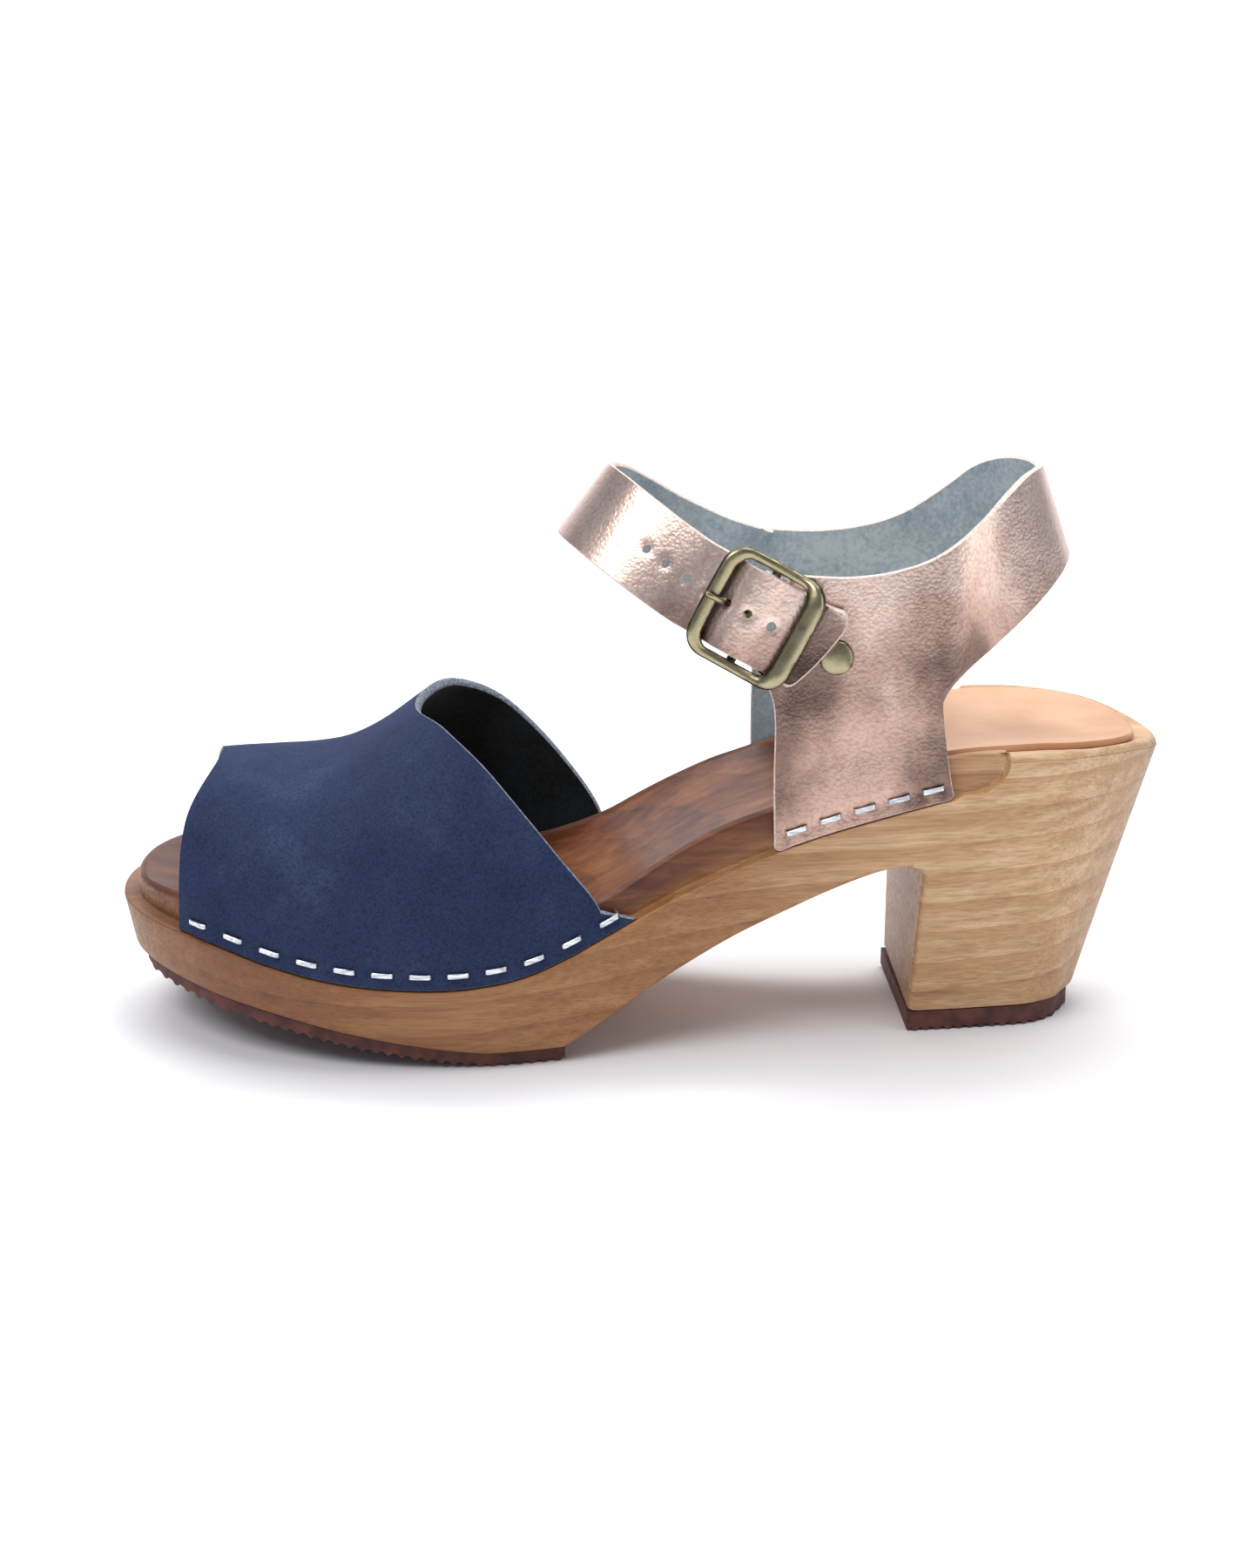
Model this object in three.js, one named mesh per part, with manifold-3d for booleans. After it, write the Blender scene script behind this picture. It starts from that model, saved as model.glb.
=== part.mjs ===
// Open-toe wooden clog with a heel, a stapled vamp and a buckled ankle strap (left shoe).
// Millimetres. Toe towards -X, heel towards +X, outer side of the foot towards -Y, up is +Z.
// The clog stands on z = 0. Its outer (lateral) side carries the buckle.
import * as THREE from 'three';
import { mergeVertices } from 'three/addons/utils/BufferGeometryUtils.js';
import Module from 'manifold-3d';

// ---------------------------------------------------------------- driving dimensions
const soleLength = 250; // toe wall to heel wall, along X
const soleWidth = 91; // across the ball of the foot
const heelHeight = 71.5; // floor to the rim of the heel seat

const ledgeWidth = 3.4; // rabbet that the leather stands on
const rimRadius = 1.8; // softened top edge of the wood
const footbedDish = 4.5; // how deep the footbed lies below its rim
const outsoleThickness = 3.2; // forefoot rubber
const outsoleInset = 2.2; // wood showing around the rubber
const outsoleRearX = -19; // where the forefoot rubber stops
const topPieceThickness = 5; // heel rubber
const padThickness = 1.8; // leather heel pad
const padLength = 66;
const padWidth = 54;
const padRearMargin = 7; // wood showing behind the pad

const vampThickness = 2.2;
const strapThickness = 2.0;
const foldThickness = 1.2; // the strap leather is thinned where it folds round the buckle bar
const strapWidth = 20.4;
const leatherReveal = 0.5; // ledge left showing outside the leather
const clearance = 0.3; // gap between pieces that touch

const buckleLength = 22; // between the middles of its end bars
const buckleWidth = 24.6; // between the middles of its side rails
const frontBarRadius = 1.3;
const rearBarRadius = 1.7;
const railRadius = 1.1;
const centreBarRadius = 1.1;
const buckleBow = 1.6; // how far the rails dip in the middle
const prongRadius = 0.8;
const prongLength = 12.8;
const holeRadius = 1.1;
const holePitch = 5.7;
const rivetHeadRadius = 3.9;
const rivetHeadHeight = 1.3;
const rivetShankRadius = 1.2;
const rivetFromBar = 20.7; // along the strap, from the buckle's centre bar
const tabLength = 26; // turned-back end of the strap leather

const stapleLength = 5.2;
const stapleWidth = 1.2;
const stapleGauge = 0.6;
const stapleLeg = 6;
const stapleRise = 3.6; // above the lower edge of the leather
const vampStapleCount = 12;
const quarterStapleCount = 5;

// Nominal shapes below are drawn for the sizes above and follow them when they change.
const kx = soleLength / 250;
const ky = soleWidth / 91;
const kz = heelHeight / 71.5;
const V = (x, y, z) => new THREE.Vector3(x, y, z);
const at = (x, y, z) => V(x * kx, y * ky, z * kz);

// ---------------------------------------------------------------- curves
// Smooth function through [x, value] points (cubic with averaged slopes).
function curve(points) {
  const n = points.length;
  const slope = points.map((p, i) => {
    const a = points[Math.max(i - 1, 0)];
    const b = points[Math.min(i + 1, n - 1)];
    return (b[1] - a[1]) / (b[0] - a[0]);
  });
  return (x) => {
    let i = 0;
    while (i < n - 2 && x > points[i + 1][0]) i += 1;
    const [x0, y0] = points[i];
    const [x1, y1] = points[i + 1];
    const h = x1 - x0;
    const t = THREE.MathUtils.clamp((x - x0) / h, 0, 1);
    const a = (1 + 2 * t) * (1 - t) ** 2 * y0 + t * (1 - t) ** 2 * h * slope[i];
    return a + t * t * (3 - 2 * t) * y1 + t * t * (t - 1) * h * slope[i + 1];
  };
}
const scaled = (points, k) => curve(points.map(([x, v]) => [x * kx, v * k]));
const lerp = THREE.MathUtils.lerp;
const smooth = THREE.MathUtils.smoothstep;

// ---------------------------------------------------------------- sole lines
const toeX = -125.5 * kx;
const heelX = 125.2 * kx;
const midX = (toeX + heelX) / 2;
const halfX = (heelX - toeX) / 2;
const stationX = (t) => midX - halfX * Math.cos(Math.PI * t);
const stationAt = (x) => Math.acos(THREE.MathUtils.clamp((midX - x) / halfX, -1, 1)) / Math.PI;

// Plan outline of the wood at the level of the ledge, then of the heel rim: [x, y].
const lateralPlan = [
  [-125.5, 8], [-124, -4], [-119, -14], [-110, -24], [-98, -33.5], [-84, -40], [-68, -44.3],
  [-50, -45.6], [-34, -44.6], [-18, -41.8], [0, -38], [18, -34.8], [40, -33.6], [60, -34.4],
  [80, -34.8], [96, -33], [108, -27.5], [117, -19], [123, -9.5], [125.2, 0],
];
const medialPlan = [
  [-125.5, 8], [-123.8, 20], [-119, 29], [-110, 37], [-98, 42], [-84, 44.7], [-68, 45.4],
  [-50, 44], [-34, 40.8], [-18, 36.6], [0, 33], [18, 30.9], [40, 30.8], [60, 32.4],
  [80, 34], [96, 33], [108, 27.5], [117, 19], [123, 9.5], [125.2, 0],
];
const planCurve = (points) => curve(points.map(([x, y]) => [stationAt(x * kx), y * ky]));
const lateralY = planCurve(lateralPlan);
const medialY = planCurve(medialPlan);

const ledgeRunOutX = 74 * kx; // the router leaves the wood along an arc from here
const ledgeEndX = 83 * kx;
const outsoleStack = outsoleThickness + clearance;
const bottomLine = scaled([
  [-125.5, 17.2], [-118, 16.6], [-104, 14.8], [-89, 12.5], [-69, 8.7], [-49, 5.2], [-36, 3.4],
  [-29, 2.8], [-20, 3], [-15, 5.8], [-8, 10], [2, 17], [12, 22.8], [22, 28.2], [32.5, 33.2],
  [44.5, 38.8], [52.4, 42], [58, 43.4], [66, 44], [125.2, 46],
], kz);
const woodBottom = (x) => Math.max(bottomLine(x), outsoleStack);
const ledgeLow = scaled([
  [-125.5, 30.5], [-116, 29.3], [-108.7, 28.6], [-98, 26.9], [-88, 24.5], [-78, 22.4],
  [-68, 21], [-58, 20.2], [-48, 19.9], [-38, 20.5], [-28, 22.3], [-18.7, 25.9], [-8.7, 31],
  [3.4, 37.2], [17, 43.2], [31, 48.7], [51, 55.2], [74, 61.4], [83, 63],
], kz);
const rimHigh = scaled([
  [-125.5, 35.6], [-110, 36], [-98, 34.8], [-84, 32.2], [-68, 30], [-50, 29.3], [-38, 30],
  [-26, 32.6], [-15, 36.4], [-6, 40.6], [2, 45.6], [10, 50.2], [19, 54.7], [27, 57.6],
  [36, 60.8], [50, 65], [64, 69], [74, 70.8], [84, 71.4], [97, 71.5], [114, 70.6], [125.2, 67.8],
], kz);
const wallReference = scaled([[-125.5, 30.5], [-60, 20], [-20, 25], [20, 44], [50, 55], [66, 62],
  [84, 70.5], [97, 71.5], [125.2, 67.8]], kz);
// How much the wall leans in per millimetre of depth, on the sides and at the rear of the heel.
const sideLean = scaled([[-125.5, 0.2], [-100, 0.1], [0, 0.1], [50, 0.17], [70, 0.19],
  [125.2, 0.19]], 1);
const rearLean = 0.295;

function ledgeHeight(x) {
  if (x <= ledgeRunOutX) return ledgeLow(x);
  const top = rimHigh(ledgeEndX) - rimRadius;
  const u = THREE.MathUtils.clamp((x - ledgeRunOutX) / (ledgeEndX - ledgeRunOutX), 0, 1);
  if (u >= 1) return rimHigh(x) - rimRadius;
  return lerp(ledgeLow(ledgeRunOutX), top, 1 - Math.sqrt(1 - u * u));
}
const ledgeDepth = (x) => (x < ledgeEndX ? ledgeWidth : 0.02);

// A point of the plan outline and its outward normal; side is -1 lateral, +1 medial.
function planPoint(t, side) {
  const y = side < 0 ? lateralY : medialY;
  const d = 0.002;
  const t0 = Math.max(t - d, 0);
  const t1 = Math.min(t + d, 1);
  const dir = new THREE.Vector2(stationX(t1) - stationX(t0), y(t1) - y(t0)).normalize();
  const normal = t <= 0 ? new THREE.Vector2(-1, 0) : new THREE.Vector2(-side * dir.y, side * dir.x);
  if (t >= 1) normal.set(1, 0);
  return { x: stationX(t), y: y(t), nx: normal.x, ny: normal.y };
}
function wallInset(x, nx, z) {
  const lean = lerp(sideLean(x), rearLean, nx > 0 ? nx * nx * smooth(x, 80 * kx, 120 * kx) : 0);
  return lean * (wallReference(x) - z);
}
// A point on or inside the wall: height z, pushed in by inset from the leaning wall.
function wallPoint(t, side, z, inset) {
  const p = planPoint(t, side);
  const d = wallInset(p.x, p.nx, z) + inset;
  return V(p.x - p.nx * d, p.y - p.ny * d, z);
}
// Y of the wall line at x, pushed in by inset, at the height that heightAt gives.
function edgeY(side, x, inset, heightAt) {
  let t = stationAt(x);
  for (let i = 0; i < 6; i += 1) {
    const p = wallPoint(t, side, heightAt(x), inset);
    t = stationAt(stationX(t) + x - p.x);
  }
  return wallPoint(t, side, heightAt(x), inset).y;
}

// Footbed height: dished between the rims, and cupped round toe and heel.
const seatStartX = -88 * kx;
const seatEndX = 92 * kx;
function footbed(x, y) {
  const xc = THREE.MathUtils.clamp(x, seatStartX, seatEndX);
  const t = stationAt(xc);
  const half = (medialY(t) - lateralY(t)) / 2 - ledgeWidth;
  const across = (y - (medialY(t) + lateralY(t)) / 2) / half;
  const reach = x > 0 ? heelX - seatEndX : seatStartX - toeX - ledgeWidth;
  const along = (x - xc) / reach;
  const r = Math.min(Math.hypot(across, along), 1);
  return rimHigh(x) - footbedDish * (1 - r ** 2.6);
}

// ---------------------------------------------------------------- mesh helpers
function geometryFrom(vertices, triangles) {
  const geometry = new THREE.BufferGeometry();
  const numbers = vertices.flatMap((v) => v.toArray());
  geometry.setAttribute('position', new THREE.Float32BufferAttribute(numbers, 3));
  geometry.setIndex(triangles);
  return geometry;
}
// Closed solid from rings of equal length, each end closed by rows across from side to side.
function ringSolid(rings) {
  const n = rings[0].length;
  const half = n / 2;
  const tris = [];
  const quad = (a, b, c, d) => tris.push(a, b, c, a, c, d);
  for (let r = 0; r < rings.length - 1; r += 1) {
    for (let i = 0; i < n; i += 1) {
      const j = (i + 1) % n;
      quad(r * n + i, r * n + j, (r + 1) * n + j, (r + 1) * n + i);
    }
  }
  const last = (rings.length - 1) * n;
  for (let i = 0; i < half; i += 1) {
    const k = (n - i) % n;
    const m = n - i - 1;
    if (i === 0) {
      tris.push(0, m, i + 1);
      tris.push(last, last + i + 1, last + m);
    } else if (i === half - 1) {
      tris.push(i, k, half);
      tris.push(last + i, last + half, last + k);
    } else {
      quad(i, k, m, i + 1);
      quad(last + i, last + i + 1, last + m, last + k);
    }
  }
  return geometryFrom(rings.flat(), tris);
}
// Closed slab between two matching grids, outer[i][j] and inner[i][j].
function slab(outer, inner) {
  const n = outer.length;
  const m = outer[0].length;
  const tris = [];
  const o = (i, j) => i * m + j;
  const k = (i, j) => n * m + i * m + j;
  const quad = (a, b, c, d) => tris.push(a, b, c, a, c, d);
  for (let i = 0; i < n - 1; i += 1) {
    for (let j = 0; j < m - 1; j += 1) {
      quad(o(i, j), o(i, j + 1), o(i + 1, j + 1), o(i + 1, j));
      quad(k(i, j), k(i + 1, j), k(i + 1, j + 1), k(i, j + 1));
    }
    quad(o(i, 0), o(i + 1, 0), k(i + 1, 0), k(i, 0));
    quad(o(i, m - 1), k(i, m - 1), k(i + 1, m - 1), o(i + 1, m - 1));
  }
  for (let j = 0; j < m - 1; j += 1) {
    quad(o(0, j), k(0, j), k(0, j + 1), o(0, j + 1));
    quad(o(n - 1, j), o(n - 1, j + 1), k(n - 1, j + 1), k(n - 1, j));
  }
  return geometryFrom([...outer.flat(), ...inner.flat()], tris);
}
// Leather: a grid of outer points, thickened inwards along its own normals.
function leather(grid, thicknessAt) {
  const n = grid.length;
  const m = grid[0].length;
  const inner = grid.map((row, i) => row.map((p, j) => {
    const du = grid[Math.min(i + 1, n - 1)][j].clone().sub(grid[Math.max(i - 1, 0)][j]);
    const dv = row[Math.min(j + 1, m - 1)].clone().sub(row[Math.max(j - 1, 0)]);
    const normal = dv.cross(du).normalize();
    return p.clone().addScaledVector(normal, -thicknessAt(i));
  }));
  return slab(grid, inner);
}
// Tube along a closed or open list of points, with a round section of the given radii.
function tube(points, radiusAt, sides, closed) {
  const n = points.length;
  const rings = points.map((p, i) => {
    const a = points[closed ? (i + n - 1) % n : Math.max(i - 1, 0)];
    const b = points[closed ? (i + 1) % n : Math.min(i + 1, n - 1)];
    const dir = b.clone().sub(a).normalize();
    const sideways = dir.clone().cross(V(0, 0, 1)).normalize();
    const upward = sideways.clone().cross(dir).normalize();
    return Array.from({ length: sides }, (_, k) => {
      const q = (2 * Math.PI * k) / sides;
      const r = radiusAt(i);
      return p.clone().addScaledVector(sideways, r * Math.cos(q)).addScaledVector(upward, r * Math.sin(q));
    });
  });
  const tris = [];
  const rows = closed ? n : n - 1;
  for (let i = 0; i < rows; i += 1) {
    const r = ((i + 1) % n) * sides;
    for (let k = 0; k < sides; k += 1) {
      const l = (k + 1) % sides;
      tris.push(i * sides + k, r + l, i * sides + l, i * sides + k, r + k, r + l);
    }
  }
  if (!closed) {
    for (let k = 1; k < sides - 1; k += 1) {
      const e = (n - 1) * sides;
      tris.push(0, k, k + 1, e, e + k + 1, e + k);
    }
  }
  return geometryFrom(rings.flat(), tris);
}

// ---------------------------------------------------------------- cutting and joining
const wasm = await Module();
wasm.setup();
function toSolid(geometry) {
  const g = geometry.clone();
  g.deleteAttribute('normal');
  g.deleteAttribute('uv');
  const merged = mergeVertices(g, 1e-4);
  return new wasm.Manifold(new wasm.Mesh({
    numProp: 3,
    vertProperties: new Float32Array(merged.attributes.position.array),
    triVerts: new Uint32Array(merged.index.array),
  }));
}
function toGeometry(solid) {
  const mesh = solid.getMesh();
  const geometry = new THREE.BufferGeometry();
  geometry.setAttribute('position', new THREE.BufferAttribute(mesh.vertProperties.slice(), 3));
  geometry.setIndex(new THREE.BufferAttribute(mesh.triVerts.slice(), 1));
  return geometry;
}
const join = (geometries) => toGeometry(geometries.map(toSolid).reduce((a, b) => a.add(b)));
const cut = (geometry, cutters) => toGeometry(cutters.map(toSolid)
  .reduce((a, b) => a.subtract(b), toSolid(geometry)));
const common = (a, b) => toGeometry(toSolid(a).intersect(toSolid(b)));

function box(w, d, h) {
  return new THREE.BoxGeometry(w, d, h);
}
function basis(x, y, z, origin) {
  return new THREE.Matrix4().makeBasis(x, y, z).setPosition(origin);
}

// ---------------------------------------------------------------- sole
const stations = [];
for (let i = 0; i <= 40; i += 1) stations.push(i / 40);
for (const x of [71, 77, 79.5, 81.5, 82.6, 83.4]) stations.push(stationAt(x * kx));
stations.sort((a, b) => a - b);

// One closed ring round the sole; place(t, side) gives its point.
function around(place) {
  const last = stations.length - 1;
  const lateral = stations.map((t) => place(t, -1));
  const medial = stations.slice(1, last).reverse().map((t) => place(t, 1));
  return [...lateral, ...medial];
}
const spineReach = halfX - 34 * kx;
function towardsSpine(p, t, f, height) {
  const x = lerp(p.x, midX - spineReach * Math.cos(Math.PI * t), f);
  const y = lerp(p.y, (lateralY(t) + medialY(t)) / 2, f);
  return V(x, y, height(x, y));
}
function platform() {
  const edgeRadius = 2;
  const bottom = (x) => woodBottom(x);
  const bottomRing = (f) => around((t, s) => {
    const x = stationX(t);
    const p = wallPoint(t, s, bottom(x), edgeRadius);
    return towardsSpine(p, t, f, bottom);
  });
  const wall = (heightAt, insetAt) => around((t, s) => {
    const x = stationX(t);
    return wallPoint(t, s, heightAt(x), insetAt(x));
  });
  const rimInset = (x) => ledgeDepth(x) + 0.3;
  // Above the ledge the riser stands upright, set in from the wall at ledge height.
  const riser = (heightAt, insetAt) => around((t, s) => {
    const x = stationX(t);
    return wallPoint(t, s, ledgeHeight(x), insetAt(x)).setZ(heightAt(x));
  });
  const inside = (f) => around((t, s) => {
    const x = stationX(t);
    const p = wallPoint(t, s, ledgeHeight(x), rimInset(x) + rimRadius);
    return towardsSpine(p, t, f, footbed);
  });
  const rings = [
    bottomRing(0.8), bottomRing(0.4), bottomRing(0),
    wall((x) => bottom(x) + edgeRadius * 0.3, () => edgeRadius * 0.3),
    wall((x) => bottom(x) + edgeRadius, () => 0),
    wall(ledgeHeight, () => 0),
    wall((x) => ledgeHeight(x) + 0.02, ledgeDepth),
    riser((x) => rimHigh(x) - rimRadius + 0.04, rimInset),
    riser((x) => rimHigh(x) - rimRadius * 0.3, (x) => rimInset(x) + rimRadius * 0.3),
    inside(0), inside(0.12), inside(0.28), inside(0.5), inside(0.8),
  ];
  return ringSolid(rings);
}
// Heel block outline at height z: round the rear, then straight across the breast.
const breastX = (z) => 62.3 * kx + (z / (42.5 * kz)) * 2.1 * kx;
const breastStation = stationAt(64.5 * kx);
function heelRing(z, inset) {
  const steps = 12;
  const row = (side) => Array.from({ length: steps + 1 }, (_, i) => {
    const p = wallPoint(lerp(breastStation, 1, i / steps), side, z, inset);
    if (i === 0) p.x = breastX(z) + inset;
    return p;
  });
  const lateral = row(-1);
  const medial = row(1).slice(0, steps).reverse();
  return [...lateral, ...medial];
}
function heelSolid(levels) {
  const rings = levels.map(([z, inset]) => heelRing(z, inset));
  const n = rings[0].length;
  const tris = [];
  for (let r = 0; r < rings.length - 1; r += 1) {
    for (let i = 0; i < n; i += 1) {
      const j = (i + 1) % n;
      tris.push(r * n + i, r * n + j, (r + 1) * n + j, r * n + i, (r + 1) * n + j, (r + 1) * n + i);
    }
  }
  const last = (rings.length - 1) * n;
  for (let a = 0; a < (n - 1) / 2; a += 1) {
    const b = a + 1;
    const c = n - 1 - a;
    const d = c - 1;
    tris.push(a, c, d, last + a, last + d, last + c);
    if (b !== d) tris.push(a, d, b, last + a, last + b, last + d);
  }
  return geometryFrom(rings.flat(), tris);
}

// ---------------------------------------------------------------- rubber and heel pad
// Solid under a side profile, as wide as the clog.
function acrossProfile(shape) {
  const depth = 2 * soleWidth;
  const g = new THREE.ExtrudeGeometry(shape, { depth, bevelEnabled: false });
  g.applyMatrix4(basis(V(1, 0, 0), V(0, 0, 1), V(0, -1, 0), V(0, depth / 2, 0)));
  return g;
}
function forefootOutsole() {
  const top = (x) => woodBottom(x) - clearance;
  const steps = 22;
  const xs = Array.from({ length: steps + 1 }, (_, i) => lerp(toeX - 5, outsoleRearX * kx, i / steps));
  const profile = new THREE.Shape();
  profile.moveTo(xs[0], top(xs[0]) - outsoleThickness);
  for (const x of xs.slice(1, -1)) profile.lineTo(x, top(x) - outsoleThickness);
  const rear = xs[steps];
  profile.lineTo(rear - 2, top(rear) - outsoleThickness);
  profile.lineTo(rear, top(rear) - outsoleThickness * 0.4);
  for (const x of [...xs].reverse()) profile.lineTo(x, top(x));
  const plan = new THREE.Shape();
  const inset = (t, s) => wallPoint(t, s, woodBottom(stationX(t)), outsoleInset);
  const front = stations.filter((t) => stationX(t) < outsoleRearX * kx + 12);
  front.forEach((t, i) => {
    const p = inset(t, -1);
    if (i === 0) plan.moveTo(p.x, p.y);
    else plan.lineTo(p.x, p.y);
  });
  for (const t of front.slice(1).reverse()) {
    const p = inset(t, 1);
    plan.lineTo(p.x, p.y);
  }
  const height = 2 * heelHeight;
  const column = new THREE.ExtrudeGeometry(plan, { depth: height, bevelEnabled: false });
  column.translate(0, 0, -height / 2);
  return common(column, acrossProfile(profile));
}
const topPieceGap = topPieceThickness + clearance;
const heelTopPiece = () => heelSolid([[0, 1.2], [0.8, 0.4], [topPieceThickness, 0.4]]);

const padRearX = heelX - padRearMargin;
const padCentreX = padRearX - padLength / 2;
function heelPad() {
  const count = 36;
  const ring = (f, lift) => Array.from({ length: count }, (_, i) => {
    const q = (2 * Math.PI * i) / count;
    const c = Math.cos(q);
    const s = Math.sin(q);
    const squarish = (v) => Math.sign(v) * Math.abs(v) ** 0.84;
    const x = padCentreX + squarish(-c) * (padLength / 2) * f;
    const y = squarish(-s) * (padWidth / 2) * f;
    return V(x, y, footbed(x, y) + clearance + lift);
  });
  const rings = [ring(0.15, 0), ring(0.4, 0), ring(0.65, 0), ring(0.88, 0), ring(1, 0), ring(1, padThickness * 0.7),
    ring(0.98, padThickness), ring(0.88, padThickness), ring(0.65, padThickness), ring(0.4, padThickness),
    ring(0.15, padThickness)];
  return ringSolid(rings);
}

// ---------------------------------------------------------------- vamp
const crownHeight = scaled([[-110, 61.6], [-100, 62.6], [-88, 63.4], [-78, 64.2], [-70, 66],
  [-62, 70.2], [-53.2, 76.8], [-44, 84], [-28, 92], [-10, 99], [0, 102]], kz);
const vampFrontX = curve([[0, -108.7 * kx], [0.25, -106.8 * kx], [0.5, -101.2 * kx],
  [0.75, -105.2 * kx], [1, -107.5 * kx]]);
const vampRearX = curve([[0, -2.4 * kx], [0.06, -10.5 * kx], [0.13, -20.5 * kx], [0.24, -34 * kx],
  [0.36, -46 * kx], [0.5, -53.2 * kx], [0.64, -45.5 * kx], [0.76, -31 * kx], [0.87, -17 * kx],
  [0.94, -8 * kx], [1, -1 * kx]]);
const vampStand = 6.5; // the leather stands straight up against the riser this far
// Point of the vamp's outer face; u runs 0..1 from the lateral to the medial edge.
function vampPoint(u, v) {
  const x = lerp(vampFrontX(u), vampRearX(u), v);
  const base = (xx) => ledgeHeight(xx) + clearance;
  const yl = edgeY(-1, x, leatherReveal, base);
  const ym = edgeY(1, x, leatherReveal, base);
  const standing = 0.06;
  const centre = (yl + ym) / 2;
  const half = (ym - yl) / 2;
  const side = u < 0.5 ? -1 : 1;
  const e = Math.min(u, 1 - u);
  if (e < standing) return V(x, centre + side * half, base(x) + (vampStand * e) / standing);
  const q = ((e - standing) / (0.5 - standing)) * (Math.PI / 2);
  const power = 2 / 2.35;
  const y = centre + side * half * Math.abs(Math.cos(q)) ** power;
  const z = base(x) + vampStand + (crownHeight(x) - base(x) - vampStand) * Math.sin(q) ** power;
  return V(x, y, z);
}
function vamp() {
  const us = [0, 0.06, 0.1, 0.15, 0.2, 0.26, 0.32, 0.38, 0.44, 0.5];
  const across = [...us, ...us.slice(0, -1).reverse().map((u) => 1 - u)];
  const along = 12;
  const grid = across.map((u) => Array.from({ length: along + 1 }, (_, j) => vampPoint(u, j / along)));
  return leather(grid, () => vampThickness);
}

// ---------------------------------------------------------------- buckle frame of reference
// a runs along the strap towards its tip, b across it (upwards), n outwards from the foot.
const strapSlope = THREE.MathUtils.degToRad(27.5);
const buckleLean = THREE.MathUtils.degToRad(5);
const buckleTurn = THREE.MathUtils.degToRad(5);
const buckleCentre = at(24.5, -29.2, 103.1);
const turn = new THREE.Matrix4().makeRotationZ(-buckleTurn)
  .multiply(new THREE.Matrix4().makeRotationX(-buckleLean));
const axisA = V(Math.cos(strapSlope), 0, -Math.sin(strapSlope)).transformDirection(turn);
const axisB = V(Math.sin(strapSlope), 0, Math.cos(strapSlope)).transformDirection(turn);
const axisN = axisA.clone().cross(axisB);
const buckleMatrix = basis(axisA, axisB, axisN, buckleCentre);
const local = (a, b, n) => V(a, b, n).applyMatrix4(buckleMatrix);
const mirrored = (p) => V(p.x, -p.y, p.z);

// ---------------------------------------------------------------- ankle leather
const halfStrap = strapWidth / 2;
const quarterFrontX = 29.4 * kx;
const quarterRearX = 70.6 * kx;
const centreBarN = -(foldThickness * 0.25 + centreBarRadius + clearance);
function quarterFoot(x, side) {
  const base = (xx) => ledgeHeight(xx) + clearance;
  return V(x, edgeY(side, x, leatherReveal, base), base(x));
}
// Rulings [top, bottom] of the outer face on the lateral side, from the back to the buckle.
function heelRulings(count) {
  const top = [at(94, 0, 133.2), at(92.6, -7, 133.3), at(88.3, -14.5, 132.4), at(82.5, -21.8, 129),
    at(76.1, -26, 123.4), at(70.5, -28.2, 119.2), at(67.6, -28.9, 117.4)];
  const bottom = [at(101.6, 0, 111.9), at(99.6, -7.6, 110), at(94.8, -14.8, 106), at(88, -21.6, 101),
    at(79.6, -27, 94.9), at(72.2, -30.4, 89.2), at(69.2, -31.4, 86)];
  const topCurve = new THREE.CatmullRomCurve3([mirrored(top[1]), ...top]);
  const bottomCurve = new THREE.CatmullRomCurve3([mirrored(bottom[1]), ...bottom]);
  return Array.from({ length: count }, (_, i) => {
    const t = 1 / top.length + (i / (count - 1)) * (1 - 1 / top.length);
    return [topCurve.getPoint(t), bottomCurve.getPoint(t)];
  });
}
function quarterRulings(side) {
  const s = -side;
  const tops = [at(66.6, -29.1, 116.8), at(62, -29.6, 114.8), at(54, -30.2, 112.8),
    at(46, -30.3, 112), at(40, -30, 112.1), at(34.4, -29.8, 112.4)];
  const line = new THREE.CatmullRomCurve3(tops.map((p) => V(p.x, p.y * s, p.z)));
  const count = 7;
  return Array.from({ length: count }, (_, i) => {
    const f = i / (count - 1);
    const top = line.getPoint(f);
    const foot = quarterFoot(lerp(quarterRearX, quarterFrontX, f), side);
    const waist = top.clone().lerp(foot, 0.47);
    waist.x = lerp(waist.x, foot.x, f);
    return [top, foot, waist];
  });
}
// From the front edge of a quarter to the full strap width, square to the strap. The face rises
// to meet a fold where there is one.
const shoulderEnd = 1.4;
const foldRise = 0.7;
function shoulderRulings(toWorld, rise) {
  const tops = [local(3.2, halfStrap + 1.4, 0), local(2.4, halfStrap + 0.5, rise * 0.4),
    local(shoulderEnd, halfStrap, rise)];
  const bottoms = [local(12.2, -halfStrap - 4, -0.2), local(7.4, -halfStrap - 1.1, 0.1),
    local(shoulderEnd, -halfStrap, rise)];
  return tops.map((p, i) => [toWorld(p), toWorld(bottoms[i])]);
}
function foldRulings() {
  const outside = centreBarRadius + clearance + foldThickness;
  const rulings = [];
  const steps = 8;
  for (let i = 0; i <= steps; i += 1) {
    const q = (Math.PI * i) / steps;
    const a = -outside * Math.sin(q);
    const n = centreBarN + outside * Math.cos(q);
    rulings.push([local(a, halfStrap, n), local(a, -halfStrap, n)]);
  }
  const under = -(2 * strapThickness + clearance);
  for (const [a, n] of [[4, centreBarN - outside], [8, under], [15, under], [tabLength, under]]) {
    rulings.push([local(a, halfStrap, n), local(a, -halfStrap, n)]);
  }
  return rulings;
}
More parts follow.
